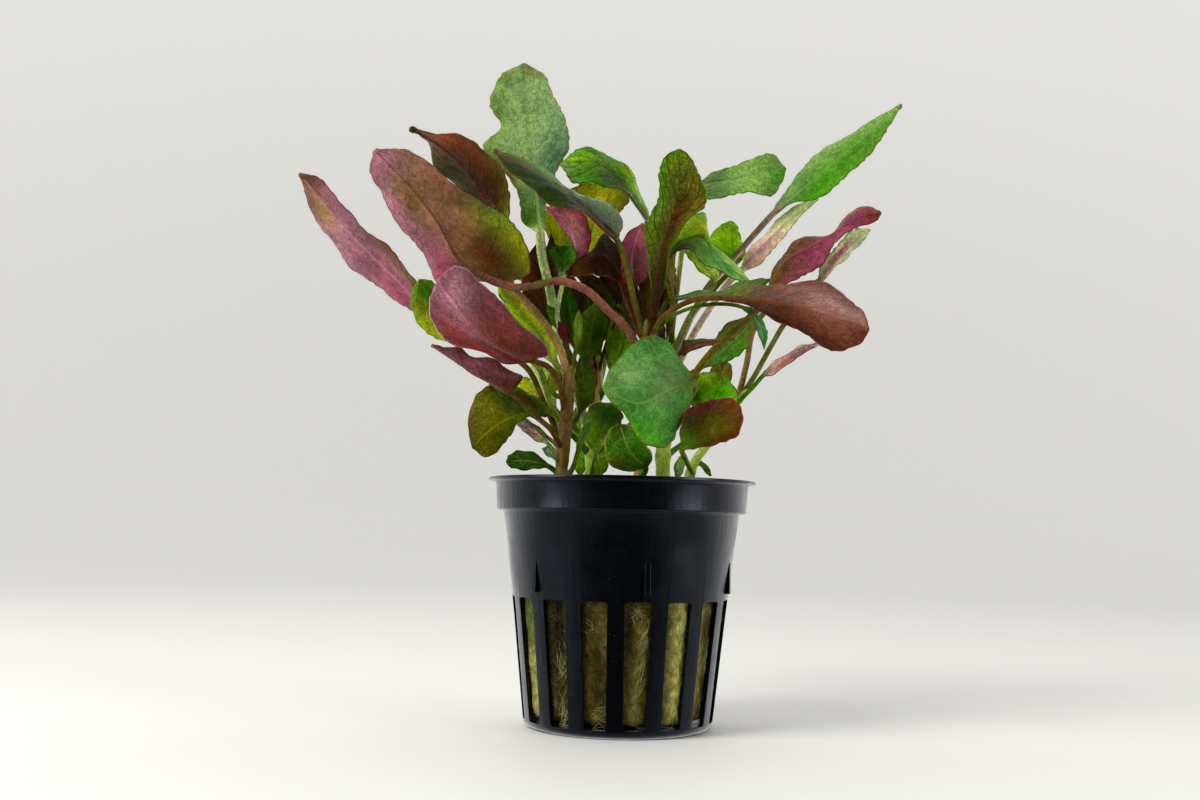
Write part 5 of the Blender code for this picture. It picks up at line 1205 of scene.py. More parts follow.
def build_pot():
    """The pot as one moulded piece, with its lugs, its moulded edges rounded."""
    pot = settings("pot")
    points, faces = pot_shell(pot)
    lug_points, lug_faces = pot_lugs(pot)
    faces += [tuple(corner + len(points) for corner in face) for face in lug_faces]
    piece = mesh_piece("net_pot", np.vstack((points, lug_points)), faces, [moulded_plastic(pot)])
    shape = bmesh.new()
    shape.from_mesh(piece.data)
    bmesh.ops.recalc_face_normals(shape, faces=shape.faces)
    shape.to_mesh(piece.data)
    shape.free()
    rounding = piece.modifiers.new("rounded edges", "BEVEL")
    rounding.width = pot.edge * MM
    rounding.segments = 2
    rounding.limit_method = "ANGLE"
    rounding.angle_limit = math.radians(SHARP_EDGE)
    rounding.use_clamp_overlap = True
    rounding.harden_normals = True
    stand_for(piece, "pot")


# Half the width of a slot as a turn round the axis, in radians.
SLOT_HALF_TURN = 0.112


def slot_share(pot, turn):
    """How far a turn is from the middle of its slot: 0 there, 1 at the slot's edge, more at a bar."""
    pitch = FULL_TURN / pot.slot_count
    off = (turn - pot.slot_turn + pitch / 2) % pitch - pitch / 2
    return np.abs(off) / SLOT_HALF_TURN


def degrees_from_front(turn):
    return np.degrees((turn + math.pi) % FULL_TURN - math.pi)


# Patches of the plug's surface: colour, its middle in degrees from the front and in height, its
# reach in each, and its strength. Brown patches are partly damp wool and partly painted shade in
# the slots' recesses, such as the narrow tall one at the left edge of the slot at 32 degrees.
WOOL_PATCHES = [
    ("moss", -58, 22, 14, 6, 0.95), ("yellow", -58, 8, 12, 9, 0.8), ("brown", -36, 18, 8, 18, 1.1),
    ("olive", -30, 6, 6, 4, 0.6), ("brown", -12, 12, 4, 6, 0.75), ("brown", -17, 22, 6, 6, 0.75),
    ("yellow", -8, 20, 2.5, 4, 0.2), ("brown", 5, 20, 4, 8, 0.8), ("yellow", 13, 18, 3, 6, 0.2),
    ("yellow", 9, 6, 4, 6, 0.3), ("brown", 25, 13, 2, 16, 0.5), ("yellow", 34, 13, 6, 18, 0.95),
    ("brown", 58, 20, 4, 8, 0.7), ("yellow", 51, 10, 4, 16, 0.5), ("yellow", 78, 14, 8, 12, 0.5),
    ("yellow", 125, 10, 14, 9, 0.45), ("brown", 170, 18, 16, 8, 0.8), ("moss", 148, 24, 14, 6, 0.6),
    ("yellow", -150, 9, 16, 8, 0.4), ("moss", -110, 20, 16, 8, 0.7), ("brown", -88, 10, 10, 8, 0.6),
]


def wool_tint(wool, turn, height):
    """Colour of the plug's surface, mossy near its top."""
    tint = np.broadcast_to(wool.olive, (*turn.shape, 3)).copy()
    degrees = degrees_from_front(turn)
    for name, across, up, wide, high, strength in WOOL_PATCHES:
        off = (degrees - across + 180) % 360 - 180
        amount = strength * bell(off / wide) * bell((height - up) / high)
        tint += (getattr(wool, name) - tint) * amount[..., None]
    top = 0.8 * ease((height - 34) / 8)
    return tint + (wool.moss - tint) * top[..., None]


def wool_radius(pot, wool, turn, height, draw):
    """Outer radius of the plug: just inside the wall, swelling a little into the slots."""
    inside = wall_radius(pot, np.clip(height, pot.slot_foot, pot.collar_foot)) - pot.wall
    degrees = degrees_from_front(turn)
    swell = wool.bulge * (0.2 + 1.2 * bell((degrees - 32) / 12) + 0.5 * bell((degrees + 12) / 14)
                          - 1.6 * bell((degrees + 38) / 9))
    open_here = bell(slot_share(pot, turn) / 0.8) * (height < pot.slot_top) * (height > pot.slot_foot)
    rough = 0.16 * ripples(turn * 20, height, draw, 2.2) + 0.3 * ripples(turn * 20, height, draw, 7.0)
    return inside - 0.15 + swell * open_here + rough * np.where(open_here > 0.3, 1.0, 0.3)


# Points round the plug, and rings up its side.
PLUG_COLUMNS = 240
PLUG_ROWS = 84


def build_wool():
    """The plug, from its foot up its side to its top, with rounded shoulders and uneven ends."""
    pot = settings("pot")
    wool = settings("wool")
    draw = np.random.default_rng(WOOL_SEED)
    around = np.linspace(0, FULL_TURN, PLUG_COLUMNS, endpoint=False)
    turn, height = np.meshgrid(around, np.linspace(wool.foot, wool.top, PLUG_ROWS))
    radius = wool_radius(pot, wool, turn, height, draw)
    rounding = np.minimum(1.0, np.minimum(height - wool.foot, wool.top - height) / 1.6)
    radius -= 1.3 * (1 - np.sqrt(np.maximum(1 - (1 - rounding) ** 2, 0.0)))
    inward = np.array([0.92, 0.8, 0.62, 0.42, 0.2, 0.04])
    rings = [(radius, height, wool_tint(wool, turn, height))]
    for end, level in ((0, wool.foot), (-1, wool.top)):
        spread = radius[end] * inward[:, None]
        turn = np.broadcast_to(around, spread.shape)
        lumps = 0.35 * ripples(spread * np.sin(turn), spread * np.cos(turn), draw, 6.0)
        lumps -= 0.25 * (end == -1) * (spread < 18)
        tint = wool_tint(wool, turn, np.full(turn.shape, level))
        rings.append((spread, level + lumps * (1 if end else -1), tint))
    body, foot, top = rings
    radius, height, tint = (np.concatenate((foot[part][::-1], body[part], top[part])) for part in range(3))
    points = round_axis(radius, around, height).reshape(-1, 3)
    faces = tube_faces(len(radius), len(around))
    piece = mesh_piece("rock_wool_plug", points, faces, [mineral_wool()], {"skin_tint": tint})
    stand_for(piece, "rock_wool")


# Points along a loose fibre, and corners round it.
FIBRE_POINTS = 7
FIBRE_SIDES = 3


def fibre_line(pot, wool, turn, height, heading, reach, bend, lift):
    """Points of one fibre that lies on the plug, from its middle outwards along a bent path."""
    steps = np.linspace(-0.5, 0.5, FIBRE_POINTS)
    lean = heading + bend * steps
    gaps = FIBRE_POINTS - 1
    up = height + np.cumsum(np.sin(lean)) * reach / gaps - reach / 2 * math.sin(heading)
    inside = wall_radius(pot, np.clip(up, pot.slot_foot, pot.collar_foot)) - pot.wall
    across = turn + (np.cumsum(np.cos(lean)) * reach / gaps - reach / 2 * math.cos(heading)) / inside
    up = np.clip(up, wool.foot - 0.9, pot.slot_top - 0.1)
    proud = inside - 0.35 + lift * (1 - (2 * steps) ** 2 * 0.5)
    proud = np.where(slot_share(pot, across) > 0.93, inside - 0.12, proud)
    return round_axis(proud, across, up)


# Tufts that show in the slots: degrees from the front, height, lean, spread of the lean, fibres,
# length, and how far they stand proud.
WOOL_TUFTS = [
    (-31.5, 17.0, -1.15, 0.10, 5, 7.5, 1.0), (-33.5, 12.5, 1.4, 0.5, 16, 5.0, 0.7),
    (13.5, 19.5, 1.05, 0.16, 20, 6.0, 1.0), (12.5, 12.0, 1.3, 0.3, 18, 7.0, 0.6),
    (9.0, 23.5, 0.6, 0.8, 18, 4.0, 0.7), (-12.0, 4.5, 0.3, 0.5, 22, 5.0, 0.7),
    (-16.0, 23.0, -0.5, 0.7, 20, 4.5, 0.6), (-34.0, 4.5, 0.9, 0.7, 26, 4.0, 0.8),
    (60.0, 14.0, 1.35, 0.3, 24, 7.0, 0.5), (176.0, 15.0, 0.9, 0.5, 30, 6.0, 0.8),
    (123.0, 8.0, 0.4, 0.6, 24, 5.0, 0.7), (-123.0, 18.0, -0.8, 0.5, 26, 6.0, 0.8),
]


def side_fibres(pot, wool, draw):
    """Lines and colours of the fibres that lie loose in the slots."""
    turns = pot.slot_turn + np.arange(pot.slot_count) * FULL_TURN / pot.slot_count
    for fibre in range(wool.fibres):
        turn = turns[fibre % pot.slot_count] + draw.uniform(-0.1, 0.1)
        height = draw.uniform(wool.foot - 0.2, pot.slot_top - 0.2)
        heading = draw.normal(0.9, 0.9)
        reach = draw.uniform(1.2, 3.6)
        lift = 0.3 + abs(draw.normal(0.1, 0.25)) + wool.bulge * bell((math.degrees(turn) - 32) / 12)
        line = fibre_line(pot, wool, turn, height, heading, reach, draw.normal(0, 1.4), min(lift, 1.2))
        tint = wool_tint(wool, np.array([turn]), np.array([height]))[0]
        yield line, tint + (wool.yellow - tint) * draw.uniform(0.0, 0.22)


def tuft_fibres(pot, wool, draw):
    """Lines and colours of the fibres in the tufts."""
    for degrees, height, lean, spread, count, reach, lift in WOOL_TUFTS:
        for _ in range(count):
            turn = math.radians(degrees) + draw.normal(0, 0.012)
            up = height + draw.normal(0, 1.2)
            heading = lean + draw.normal(0, spread)
            fibre_reach = reach * draw.uniform(0.6, 1.2)
            bend = draw.normal(0, 0.7)
            line = fibre_line(pot, wool, turn, up, heading, fibre_reach, bend, lift * draw.uniform(0.5, 1.2))
            yield line, wool.yellow * draw.uniform(0.4, 0.9)


def top_fibres(wool, draw):
    """Lines and colours of the fibres that lie flat on the plug's top."""
    for _ in range(wool.top_fibres):
        turn = draw.uniform(0, FULL_TURN)
        radius = draw.uniform(3, 20)
        heading = draw.uniform(0, FULL_TURN)
        steps = np.linspace(-1, 1, FIBRE_POINTS) * draw.uniform(1.0, 2.6)
        bend = draw.normal(0, 0.35)
        across = radius * math.sin(turn) + steps * math.cos(heading) + bend * steps ** 2 * math.sin(heading)
        away = -radius * math.cos(turn) + steps * math.sin(heading) - bend * steps ** 2 * math.cos(heading)
        line = np.stack((across, away, wool.top + 0.25 + 0.35 * bell(steps)), axis=-1)
        yield line, wool.moss + (wool.yellow - wool.moss) * draw.uniform(0, 1)


def build_fibres():
    """All loose fibres as one piece of thin three-sided tubes that taper towards their ends."""
    pot = settings("pot")
    wool = settings("wool")
    draw = np.random.default_rng(FIBRE_SEED)
    fibres = [*side_fibres(pot, wool, draw), *tuft_fibres(pot, wool, draw), *top_fibres(wool, draw)]
    points = []
    faces = []
    skin = []
    for line, tint in fibres:
        faces += tube_faces(len(line), FIBRE_SIDES, first=len(points))
        heading = headings(line)
        side = unit(np.cross(heading, (0.3, 0.2, 0.93)))
        other = np.cross(heading, side)
        radius = wool.fibre_radius * draw.uniform(0.7, 1.5)
        taper = radius * (1 - np.linspace(-1, 1, len(line)) ** 4 * 0.7)[:, None]
        for step, middle in enumerate(line):
            for corner in range(FIBRE_SIDES):
                turn = corner * FULL_TURN / FIBRE_SIDES
                spoke = side[step] * math.cos(turn) + other[step] * math.sin(turn)
                points.append(middle + taper[step] * spoke)
                skin.append(tint)
    piece = mesh_piece("rock_wool_fibres", points, faces, [loose_fibre()], {"skin_tint": np.array(skin)})
    stand_for(piece, "rock_wool")


def stem_at(stem, height):
    """Middle and radius of a stem where it shows at the given height."""
    points = stem.points
    step = 0
    while step < len(points) - 2 and height > points[step + 1][1]:
        step += 1
    low, high = seen(points[step]), seen(points[step + 1])
    part = (height - points[step][1]) / (points[step + 1][1] - points[step][1])
    rise = (height - points[0][1]) / (points[-1][1] - points[0][1])
    radius = stem.foot_radius + (stem.top_radius - stem.foot_radius) * rise
    return low + (high - low) * part, radius


# Points round a stem, and rings of its bud.
STEM_SIDES = 24
BUD_RINGS = 6


def build_stem(stem, skin):
    """Tapering stem with fine ridges, swollen where its leaves grow out, closed by a pointed bud."""
    sizes = settings("stems")
    node = "stem_" + stem.name
    points = seen(stem.points)
    points = np.vstack((points[0] - (0, 0, sizes.depth), points))
    reach = reach_of(points)
    count = round(reach[-1] / sizes.ring_gap)
    places = np.linspace(0, reach[-1], count)
    middles = curve(points, places)
    heading = headings(middles)
    bud = np.linspace(0, 1, BUD_RINGS + 1)[1:]
    middles = np.vstack((middles, middles[-1] + heading[-1] * (bud * sizes.tip)[:, None]))
    heading = np.vstack((heading, np.repeat(heading[-1:], BUD_RINGS, axis=0)))
    places = np.concatenate((places, places[-1] + bud * sizes.tip))
    rise = np.clip((places - sizes.depth) / (reach[-1] - sizes.depth), 0, 1)
    radius = stem.foot_radius + (stem.top_radius - stem.foot_radius) * rise
    radius += 0.35 * bell((places - sizes.depth) / 2.0)
    swell = np.zeros_like(places)
    for leaf in LEAVES:
        if leaf.stem == stem.name:
            joint = sizes.depth + stem_at(stem, leaf.height)[0][2] - points[1][2]
            swell += bell(places - joint)
    radius *= 1 + sizes.swelling * np.minimum(swell, 1.2)
    radius[count:] *= np.sqrt(np.maximum(1 - bud ** 1.5, 0.003))
    turn = np.linspace(0, FULL_TURN, STEM_SIDES, endpoint=False)
    side = unit(np.cross(heading, (0.0, 1.0, 0.0)))
    other = np.cross(side, heading)
    ridges = 1 + 0.035 * np.cos(5 * turn + places[:, None] * 0.08) + 0.015 * np.cos(11 * turn)
    spread = radius[:, None] * ridges
    rings = (middles[:, None] + spread[..., None]
             * (side[:, None] * np.cos(turn)[:, None] + other[:, None] * np.sin(turn)[:, None]))
    old = SLOTS[node] == "stem_brown"
    low, high = (sizes.bark, sizes.tan) if old else (sizes.green, sizes.pale)
    tint = np.broadcast_to(low + (high - low) * ease(rise * 1.2)[:, None, None], rings.shape).copy()
    joints = (0.35 * np.minimum(swell, 1.0))[:, None, None]
    tint *= 1 - joints * np.array((0.4, 0.55, 0.6))
    grain = np.stack(np.broadcast_arrays(places[:, None], spread * turn, 0.0), axis=-1)
    faces = tube_faces(len(rings), STEM_SIDES)
    piece = mesh_piece(stem.name + "_stem", rings.reshape(-1, 3), faces, [skin],
                       {"skin_tint": tint, "grain": grain})
    stand_for(piece, node)


def leaf_lines(leaf, stem, stalk_half, sizes):
    """Places of a leaf's rings, 0 at the blade's base and 1 at its tip, with the blade's length.

    Then come the left edge, the spine and the right edge as points, and the tip.
    """
    rib = seen(leaf.rib)
    across = seen(leaf.right[0]) - seen(leaf.left[0])
    later = seen(list(leaf.stalk) + list(leaf.rib))
    middle, radius = stem_at(stem, leaf.height)
    aside = (later[0] - middle) * (1, 1, 0)
    start = middle + unit(aside) * radius * 0.35
    spine = np.vstack((start, later))
    reach = reach_of(spine)
    base = reach[1 + len(leaf.stalk)]
    blade = reach[-1] - base
    stalk_rings = max(4, round(base / sizes.ring_gap))
    blade_rings = min(max(round(blade / sizes.ring_gap), 16), 70)
    shares = 0.988 * np.linspace(0, 1, blade_rings) ** 0.97
    places = np.concatenate((np.linspace(0, base, stalk_rings, endpoint=False), base + shares * blade))
    middles = curve(spine, places)
    heading = headings(middles)
    half = stalk_half * (1 + 0.4 * bell(places / 3.0))
    side = unit(across - heading * (heading @ across)[:, None]) * half[:, None]
    lines = []
    for points, sign in ((leaf.left, -1), (leaf.right, 1)):
        base_edge = middles[stalk_rings] + sign * side[stalk_rings]
        edge = np.vstack((base_edge, seen(points), rib[-1]))
        blade_edge = curve(edge, shares * reach_of(edge)[-1])
        lines.append(np.vstack((middles[:stalk_rings] + sign * side[:stalk_rings], blade_edge)))
    return (places - base) / blade, blade, lines[0], middles, lines[1], rib[-1]


def grid_normals(grid):
    """Facing of a grid of points, with the area that each stands for as its length."""
    return np.cross(np.gradient(grid, axis=0), np.gradient(grid, axis=1))


def shown_sign(grid, look, viewer):
    """1 where the upper face is on the side of the grid's own facing, or else -1."""
    toward = np.sum(grid_normals(grid) * (viewer - grid))
    return (1 if toward > 0 else -1) * (1 if look.facing == "upper" else -1)


def leaf_shape(leaf, stem, sizes, order):
    """Both faces of a leaf as grids of points, with what its skin needs to know at each."""
    look = leaf.look
    draw = np.random.default_rng(LEAF_SEED + order)
    stalk_half = look.width / 2
    share_up, blade, left, middle, right, tip = leaf_lines(leaf, stem, stalk_half, sizes)
    half_left = np.linalg.norm(left - middle, axis=1)
    half_right = np.linalg.norm(right - middle, axis=1)
    widest = max(half_left.max(), half_right.max())
    count = min(max(round(widest / sizes.column_gap) + 3, 7), 15)
    steps = np.arange(-count, count + 1) / count
    flat = np.sign(steps) * np.minimum(np.abs(steps) * count / (count - 1), 1.0) ** 1.12 * 0.965
    flat[0], flat[-1] = -1.0, 1.0
    opened = ease(((half_left + half_right) / 2 / stalk_half - 1) / 1.6) * (share_up >= 0)
    round_off = np.sin(steps * math.pi / 2)
    t = round_off + (flat - round_off) * opened[:, None]
    size = np.abs(t)
    edge = np.where((t < 0)[..., None], left[:, None], right[:, None])
    grid = middle[:, None] + (edge - middle[:, None]) * size[..., None]
    half = np.where(t < 0, half_left[:, None], half_right[:, None])
    x = size * half
    u = np.broadcast_to(share_up[:, None], t.shape)
    opened = opened[:, None]

    viewer = EYE * (1, -1 if leaf.name.startswith("back_") else 1, 1)
    sign = shown_sign(grid, look, viewer)
    facing = unit(grid_normals(grid)) * sign
    pairs = min(max(round(blade / sizes.vein_gap), 4), 9)
    phase = (u - sizes.sweep * size ** 1.2) * pairs + draw.uniform(0, 1) + 0.4 * t / (size + 0.15)
    quilt = (0.5 - 0.5 * np.cos(FULL_TURN * phase)) * ease(x / 1.5) * (1 - 0.5 * size ** 3)
    waves = draw.uniform(2.2, 3.6)
    starts = draw.uniform(0, FULL_TURN, 2)
    start = np.where(t < 0, *starts)
    roll = np.sin(FULL_TURN * waves * u + start)
    along = u * blade
    signed = x * np.sign(t)
    fade_tip = ease((1 - u) / 0.12) * ease(u / 0.1)
    rise = sizes.bow * half * 4 * size * (1 - size) * 0.25
    rise += sizes.quilting * np.minimum(half, 9) * quilt
    rise += sizes.wave * np.minimum(half, 7) * size ** 2.2 * roll * fade_tip
    rise += sizes.ripple * ripples(along, signed, draw, 7.0) * ease(x / 2.0) * fade_tip
    grid = grid + facing * (rise * opened)[..., None]
    bite = np.sin(FULL_TURN * along / draw.uniform(2.1, 2.9) + 1.4 * np.sin(along * 0.83) + start)
    teeth = sizes.tooth * (bite - 0.35 * np.abs(bite)) * ease((size - 0.86) / 0.14)
    outward = unit(edge - middle[:, None] + 1e-9)
    grid = grid + outward * (teeth * opened * fade_tip)[..., None]

    facing = unit(grid_normals(grid)) * sign
    rounded = np.sqrt(np.maximum(1 - size ** 2, 0.0))
    thin = sizes.thickness / 2 * np.sqrt(np.maximum(1 - size ** 14, 0.0))
    left_over = np.clip(1 - u, 0, 1)
    keel = (stalk_half * 0.95 * left_over ** 1.15 + 0.1) * bell(x / (0.3 + 0.45 * stalk_half * left_over))
    groove = (0.3 * stalk_half * left_over + 0.04) * bell(x / (0.25 + 0.35 * stalk_half * left_over))
    over = opened * (thin - groove) + (1 - opened) * stalk_half * (0.8 * rounded - 0.32 * bell(t / 0.42))
    under = opened * (thin + keel) + (1 - opened) * stalk_half * rounded
    over = np.where(size >= 1, 0.0, over)
    under = np.where(size >= 1, 0.0, under)
    rib = x / (0.13 + 0.34 * stalk_half * left_over) + 2 * (1 - opened)
    rim = (1 - size) * half / sizes.rim_width + 3 * (1 - opened)
    return SimpleNamespace(upper=grid + facing * over[..., None], lower=grid - facing * under[..., None],
                           tip=tip, u=u, t=t, along=along, across=signed, phase=phase, rib=rib, rim=rim,
                           gap=np.full_like(u, blade / pairs), sign=sign, shift=order * 31.0)


def leaf_tints(shape, look, colours):
    """Colours of the upper face, the underside, the veins and the rim at each point."""
    def tint(name):
        return np.broadcast_to(getattr(colours, name), (*shape.u.shape, 3)).copy()

    faces = {"upper": tint(look.upper), "under": tint(look.under)}
    shown = faces[look.facing]
    # Dabs paint the leaf's own colours, and on a few leaves painted sheen or painted shade.
    for name, along, across, wide, high in look.dabs:
        amount = bell((shape.u - along) / wide) * bell((shape.t - across) / high)
        shown += (getattr(colours, name) - shown) * amount[..., None]
    # The tone lifts or lowers the shown face's brightness; on some leaves this is painted light or painted
    # shade.
    shown *= look.tone
    stalk = tint(look.stalk)
    on_stalk = 1 - ease((shape.along + 1.0) / 4.0)
    green_side = {"upper": 0.0 if look.stalk == "pale_lime" else 0.6, "under": 0.0}
    for side, face in faces.items():
        face += (stalk + (colours.moss - stalk) * green_side[side] - face) * on_stalk[..., None]
    faces["under"] *= 1 - 0.12 * (1 - on_stalk[..., None]) * (look.facing == "upper")
    vein = tint(look.vein)
    vein += (stalk - vein) * (1 - ease(shape.u / 0.3))[..., None]
    return faces["upper"], faces["under"], vein, tint(look.rim)


def build_leaf(leaf, stem, skins, sizes, colours, order):
    """Closed leaf: an upper face and an underside that meet along the rim."""
    look = leaf.look
    shape = leaf_shape(leaf, stem, sizes, order)
    upper_tint, under_tint, vein_tint, rim_tint = leaf_tints(shape, look, colours)
    rows, columns = shape.u.shape

    def wrap(over, below):
        """Values round each ring: over the upper face and back along the underside."""
        return np.concatenate((over, below[:, -2:0:-1]), axis=1)

    points = wrap(shape.upper, shape.lower)
    loop = points.shape[1]
    fields = {
        "upper_tint": upper_tint, "under_tint": under_tint, "vein_tint": vein_tint, "rim_tint": rim_tint,
        "veins": np.stack((shape.phase, shape.rib, shape.gap), axis=-1),
        "grain": np.stack((shape.along + shape.shift, shape.across, np.full_like(shape.u, look.veins)),
                          axis=-1),
        "rim": shape.rim[..., None],
    }
    marks = {}
    for label, field in fields.items():
        field = wrap(field, field)
        last = field[-1].mean(axis=0, keepdims=True)
        first = field[0].mean(axis=0, keepdims=True)
        marks[label] = np.concatenate((field.reshape(rows * loop, -1), last, first))
    points = np.vstack((points.reshape(-1, 3), shape.tip, points[0].mean(axis=0)))
    tip, root = rows * loop, rows * loop + 1
    low = tip - loop
    faces = tube_faces(rows, loop, closed=False)
    ring_finish = [0 if step < columns - 1 else 1 for step in range(loop)]
    face_finish = ring_finish * (rows - 1)
    for step in range(loop):
        after = (step + 1) % loop
        faces += [(low + step, low + after, tip), (after, step, root)]
        face_finish += [ring_finish[step], 1]
    if shape.sign > 0:
        faces = [face[::-1] for face in faces]
    piece = mesh_piece(leaf.name + "_leaf", points, faces, skins, marks, face_finish)
    stand_for(piece, "leaf_" + leaf.name)


def floor_finish(stage):
    """Plain pale paper with a barely uneven surface."""
    finish = Finish("studio floor")
    place = finish.place()
    tone = finish.band(finish.noise(place, 0.02, 3.0), 0.3, 0.7)
    base = finish.mix(tone, (*stage.floor * 0.985, 1), (*stage.floor, 1))
    finish.bump(finish.noise(place, 1.4), 0.02)
    gloss = finish.band(tone, 0.0, 1.0, 0.62, 0.68)
    return finish.set(base_color=base, roughness=gloss, specular_ior_level=0.3)


def backdrop_finish(stage):
    """The same paper, lit a little more the steeper it stands."""
    finish = Finish("studio backdrop")
    slope = finish.parts(finish.node("NewGeometry", {}).outputs["Normal"])[2]
    steep = finish.sum("SUBTRACT", 1.0, finish.sum("ABSOLUTE", slope))
    lift = finish.times(finish.sum("POWER", steep, 0.45), stage.lift)
    return finish.set(base_color=(*stage.floor, 1), roughness=0.65, specular_ior_level=0.3,
                      emission_color=(*stage.floor, 1), emission_strength=lift)


# Points round the floor and its bowl, and rings up the bowl.
FLOOR_SIDES = 128
BOWL_RINGS = 24


def turned_piece(name, section, finish):
    """Open surface turned round the upright axis from (radius, height) points."""
    turn = np.linspace(0, FULL_TURN, FLOOR_SIDES, endpoint=False)
    section = np.array(section)
    points = round_axis(section[:, :1], turn, section[:, 1:])
    faces = tube_faces(len(section), FLOOR_SIDES, closed=False)
    return mesh_piece(name, points.reshape(-1, 3), faces, [finish])


def build_floor(stage):
    """Flat round floor, and a bowl round it that only the camera sees, so that no horizon shows."""
    edge = stage.floor_radius
    floor = turned_piece("studio_floor", [(0.01, 0), (edge * 0.3, 0), (edge, 0)], floor_finish(stage))
    section = [(edge, 0)]
    for step in range(1, BOWL_RINGS + 1):
        turn = step / BOWL_RINGS * math.pi / 2
        section.append((edge + stage.bowl_height * math.sin(turn), stage.bowl_height * (1 - math.cos(turn))))
    bowl = turned_piece("studio_backdrop", section, backdrop_finish(stage))
    for field in ("visible_diffuse", "visible_glossy", "visible_transmission", "visible_shadow"):
        setattr(bowl, field, False)
    floor.visible_glossy = False


def light_tent(stage):
    """White surround that lights the plant from the sides, above and behind, and is dark in front."""
    world = bpy.data.worlds.new("light tent")
    bpy.context.scene.world = world
    world.use_nodes = True
    wiring = Wiring(world.node_tree)
    where = wiring.node("TexCoord", {}).outputs["Generated"]
    inputs = {0: where, 1: (0.0, -1.0, 0.0)}
    towards = wiring.node("VectorMath", inputs, operation="DOT_PRODUCT").outputs["Value"]
    front = wiring.band(towards, 0.45, 0.85, 0.0, stage.front - stage.surround)
    back = wiring.band(towards, 0.1, -0.7, 0.0, stage.back - stage.surround)
    light = world.node_tree.nodes["Background"]
    wiring.put(light.inputs["Color"], (1.0, 0.995, 0.98, 1))
    wiring.put(light.inputs["Strength"], wiring.sum("ADD", wiring.sum("ADD", front, back), stage.surround))


def add_lamp(name, place, aim, size, power, tint):
    """Round soft light that the camera doesn't see, with its places and size in millimetres."""
    lamp = bpy.data.lights.new(name, "AREA")
    lamp.shape = "DISK"
    lamp.size = size * MM
    lamp.energy = power
    lamp.color = tint
    item = bpy.data.objects.new(name, lamp)
    item.location = Vector(place) * MM
    item.visible_camera = False
    item.rotation_euler = (Vector(aim) - Vector(place)).to_track_quat("-Z", "Y").to_euler()
    bpy.context.scene.collection.objects.link(item)


def place_camera():
    """Camera at the picture's viewing angle."""
    camera = bpy.data.cameras.new("studio camera")
    camera.lens = LENS
    camera.sensor_width = SENSOR
    camera.clip_start = 0.01
    camera.clip_end = 20.0
    item = bpy.data.objects.new("studio camera", camera)
    forward = (Vector(AIM) - Vector(EYE)).normalized()
    right = forward.cross(Vector((0, 0, 1))).normalized()
    up = right.cross(forward)
    side = right * math.cos(ROLL) + up * math.sin(ROLL)
    above = up * math.cos(ROLL) - right * math.sin(ROLL)
    turn = Matrix((side, above, -forward)).transposed()
    item.matrix_world = Matrix.Translation(Vector(EYE) * MM) @ turn.to_4x4()
    bpy.context.scene.collection.objects.link(item)
    bpy.context.scene.camera = item


class CARDINAL_OT_net_pot(Operator):
    """Build the slotted net pot"""
    bl_idname = "cardinal.net_pot"
    bl_label = "Net Pot"

    def execute(self, context):
        build_pot()
        return {"FINISHED"}


class CARDINAL_OT_rock_wool(Operator):
    """Build the rock wool plug"""
    bl_idname = "cardinal.rock_wool"
    bl_label = "Rock Wool Plug"

    def execute(self, context):
        build_wool()
        return {"FINISHED"}


class CARDINAL_OT_fibres(Operator):
    """Build the loose fibres of the plug"""
    bl_idname = "cardinal.fibres"
    bl_label = "Loose Fibres"

    def execute(self, context):
        build_fibres()
        return {"FINISHED"}


class CARDINAL_OT_stems(Operator):
    """Build the upright stems"""
    bl_idname = "cardinal.stems"
    bl_label = "Stems"

    def execute(self, context):
        skin = stem_skin()
        for stem in STEMS:
            build_stem(stem, skin)
        return {"FINISHED"}


class CARDINAL_OT_leaves(Operator):
    """Build the leaves with their stalks"""
    bl_idname = "cardinal.leaves"
    bl_label = "Leaves"

    def execute(self, context):
        skins = [leaf_skin("upper leaf skin", "upper_tint", dull=False),
                 leaf_skin("leaf underside", "under_tint", dull=True)]
        stems = {stem.name: stem for stem in STEMS}
        sizes = settings("leaves")
        colours = settings("colours")
        for order, leaf in enumerate(LEAVES + YOUNG):
            build_leaf(leaf, stems[leaf.stem], skins, sizes, colours, order)
        return {"FINISHED"}


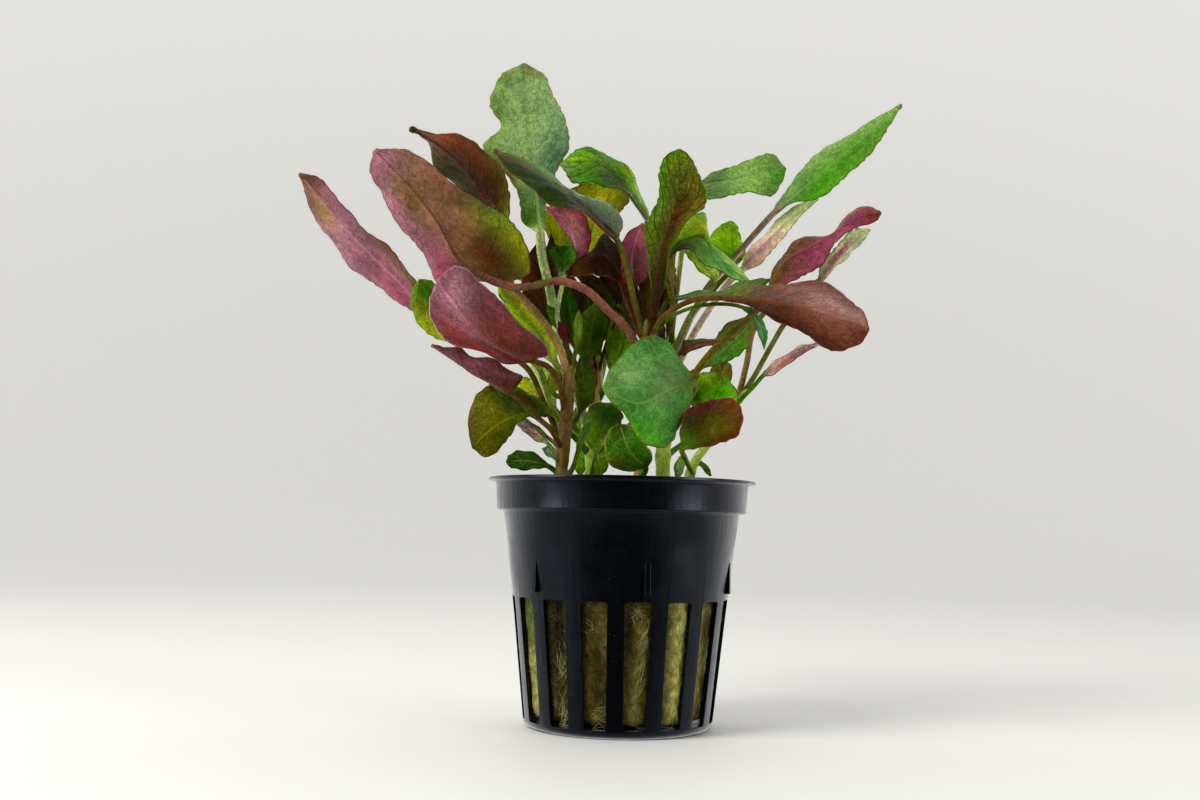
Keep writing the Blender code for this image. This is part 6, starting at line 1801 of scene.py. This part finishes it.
class CARDINAL_OT_stage(Operator):
    """Set up the floor, the light and the camera"""
    bl_idname = "cardinal.stage"
    bl_label = "Studio Stage"

    def execute(self, context):
        stage = settings("stage")
        build_floor(stage)
        light_tent(stage)
        add_lamp("main light", (-420, -330, 560), (0, 0, 80), 330, stage.key, (1.0, 0.985, 0.96))
        add_lamp("left light", (-480, -260, 120), (0, 0, 70), 260, stage.sides, (1.0, 1.0, 1.0))
        add_lamp("right light", (500, -240, 110), (0, 0, 70), 260, stage.sides, (1.0, 1.0, 1.0))
        place_camera()
        context.scene.view_settings.view_transform = "Standard"
        return {"FINISHED"}


class CARDINAL_PT_panel(Panel):
    """Sidebar panel with the builders and their settings"""
    bl_idname = "CARDINAL_PT_panel"
    bl_label = "Cardinal Flower"
    bl_space_type = "VIEW_3D"
    bl_region_type = "UI"
    bl_category = "Cardinal Flower"

    def draw(self, context):
        layout = self.layout
        for operator in OPERATORS:
            layout.operator(operator.bl_idname)
        plant = context.scene.cardinal_flower
        for name in PlantSettings.__annotations__:
            group = getattr(plant, name)
            box = layout.box()
            box.label(text=plant.bl_rna.properties[name].name)
            for field in type(group).__annotations__:
                box.prop(group, field)


SETTINGS = (PotSettings, WoolSettings, StemSettings, LeafSettings, LeafColours, StageSettings, PlantSettings)
OPERATORS = (CARDINAL_OT_net_pot, CARDINAL_OT_rock_wool, CARDINAL_OT_fibres, CARDINAL_OT_stems,
             CARDINAL_OT_leaves, CARDINAL_OT_stage)
CLASSES = (*SETTINGS, *OPERATORS, CARDINAL_PT_panel)


def register():
    for item in CLASSES:
        bpy.utils.register_class(item)
    bpy.types.Scene.cardinal_flower = PointerProperty(type=PlantSettings, name="Cardinal flower",
                                                      description="Settings of the potted plant")


def unregister():
    del bpy.types.Scene.cardinal_flower
    for item in reversed(CLASSES):
        bpy.utils.unregister_class(item)


def main():
    register()
    for build in (bpy.ops.cardinal.net_pot, bpy.ops.cardinal.rock_wool, bpy.ops.cardinal.fibres,
                  bpy.ops.cardinal.stems, bpy.ops.cardinal.leaves, bpy.ops.cardinal.stage):
        build()


if __name__ == "__main__":
    main()
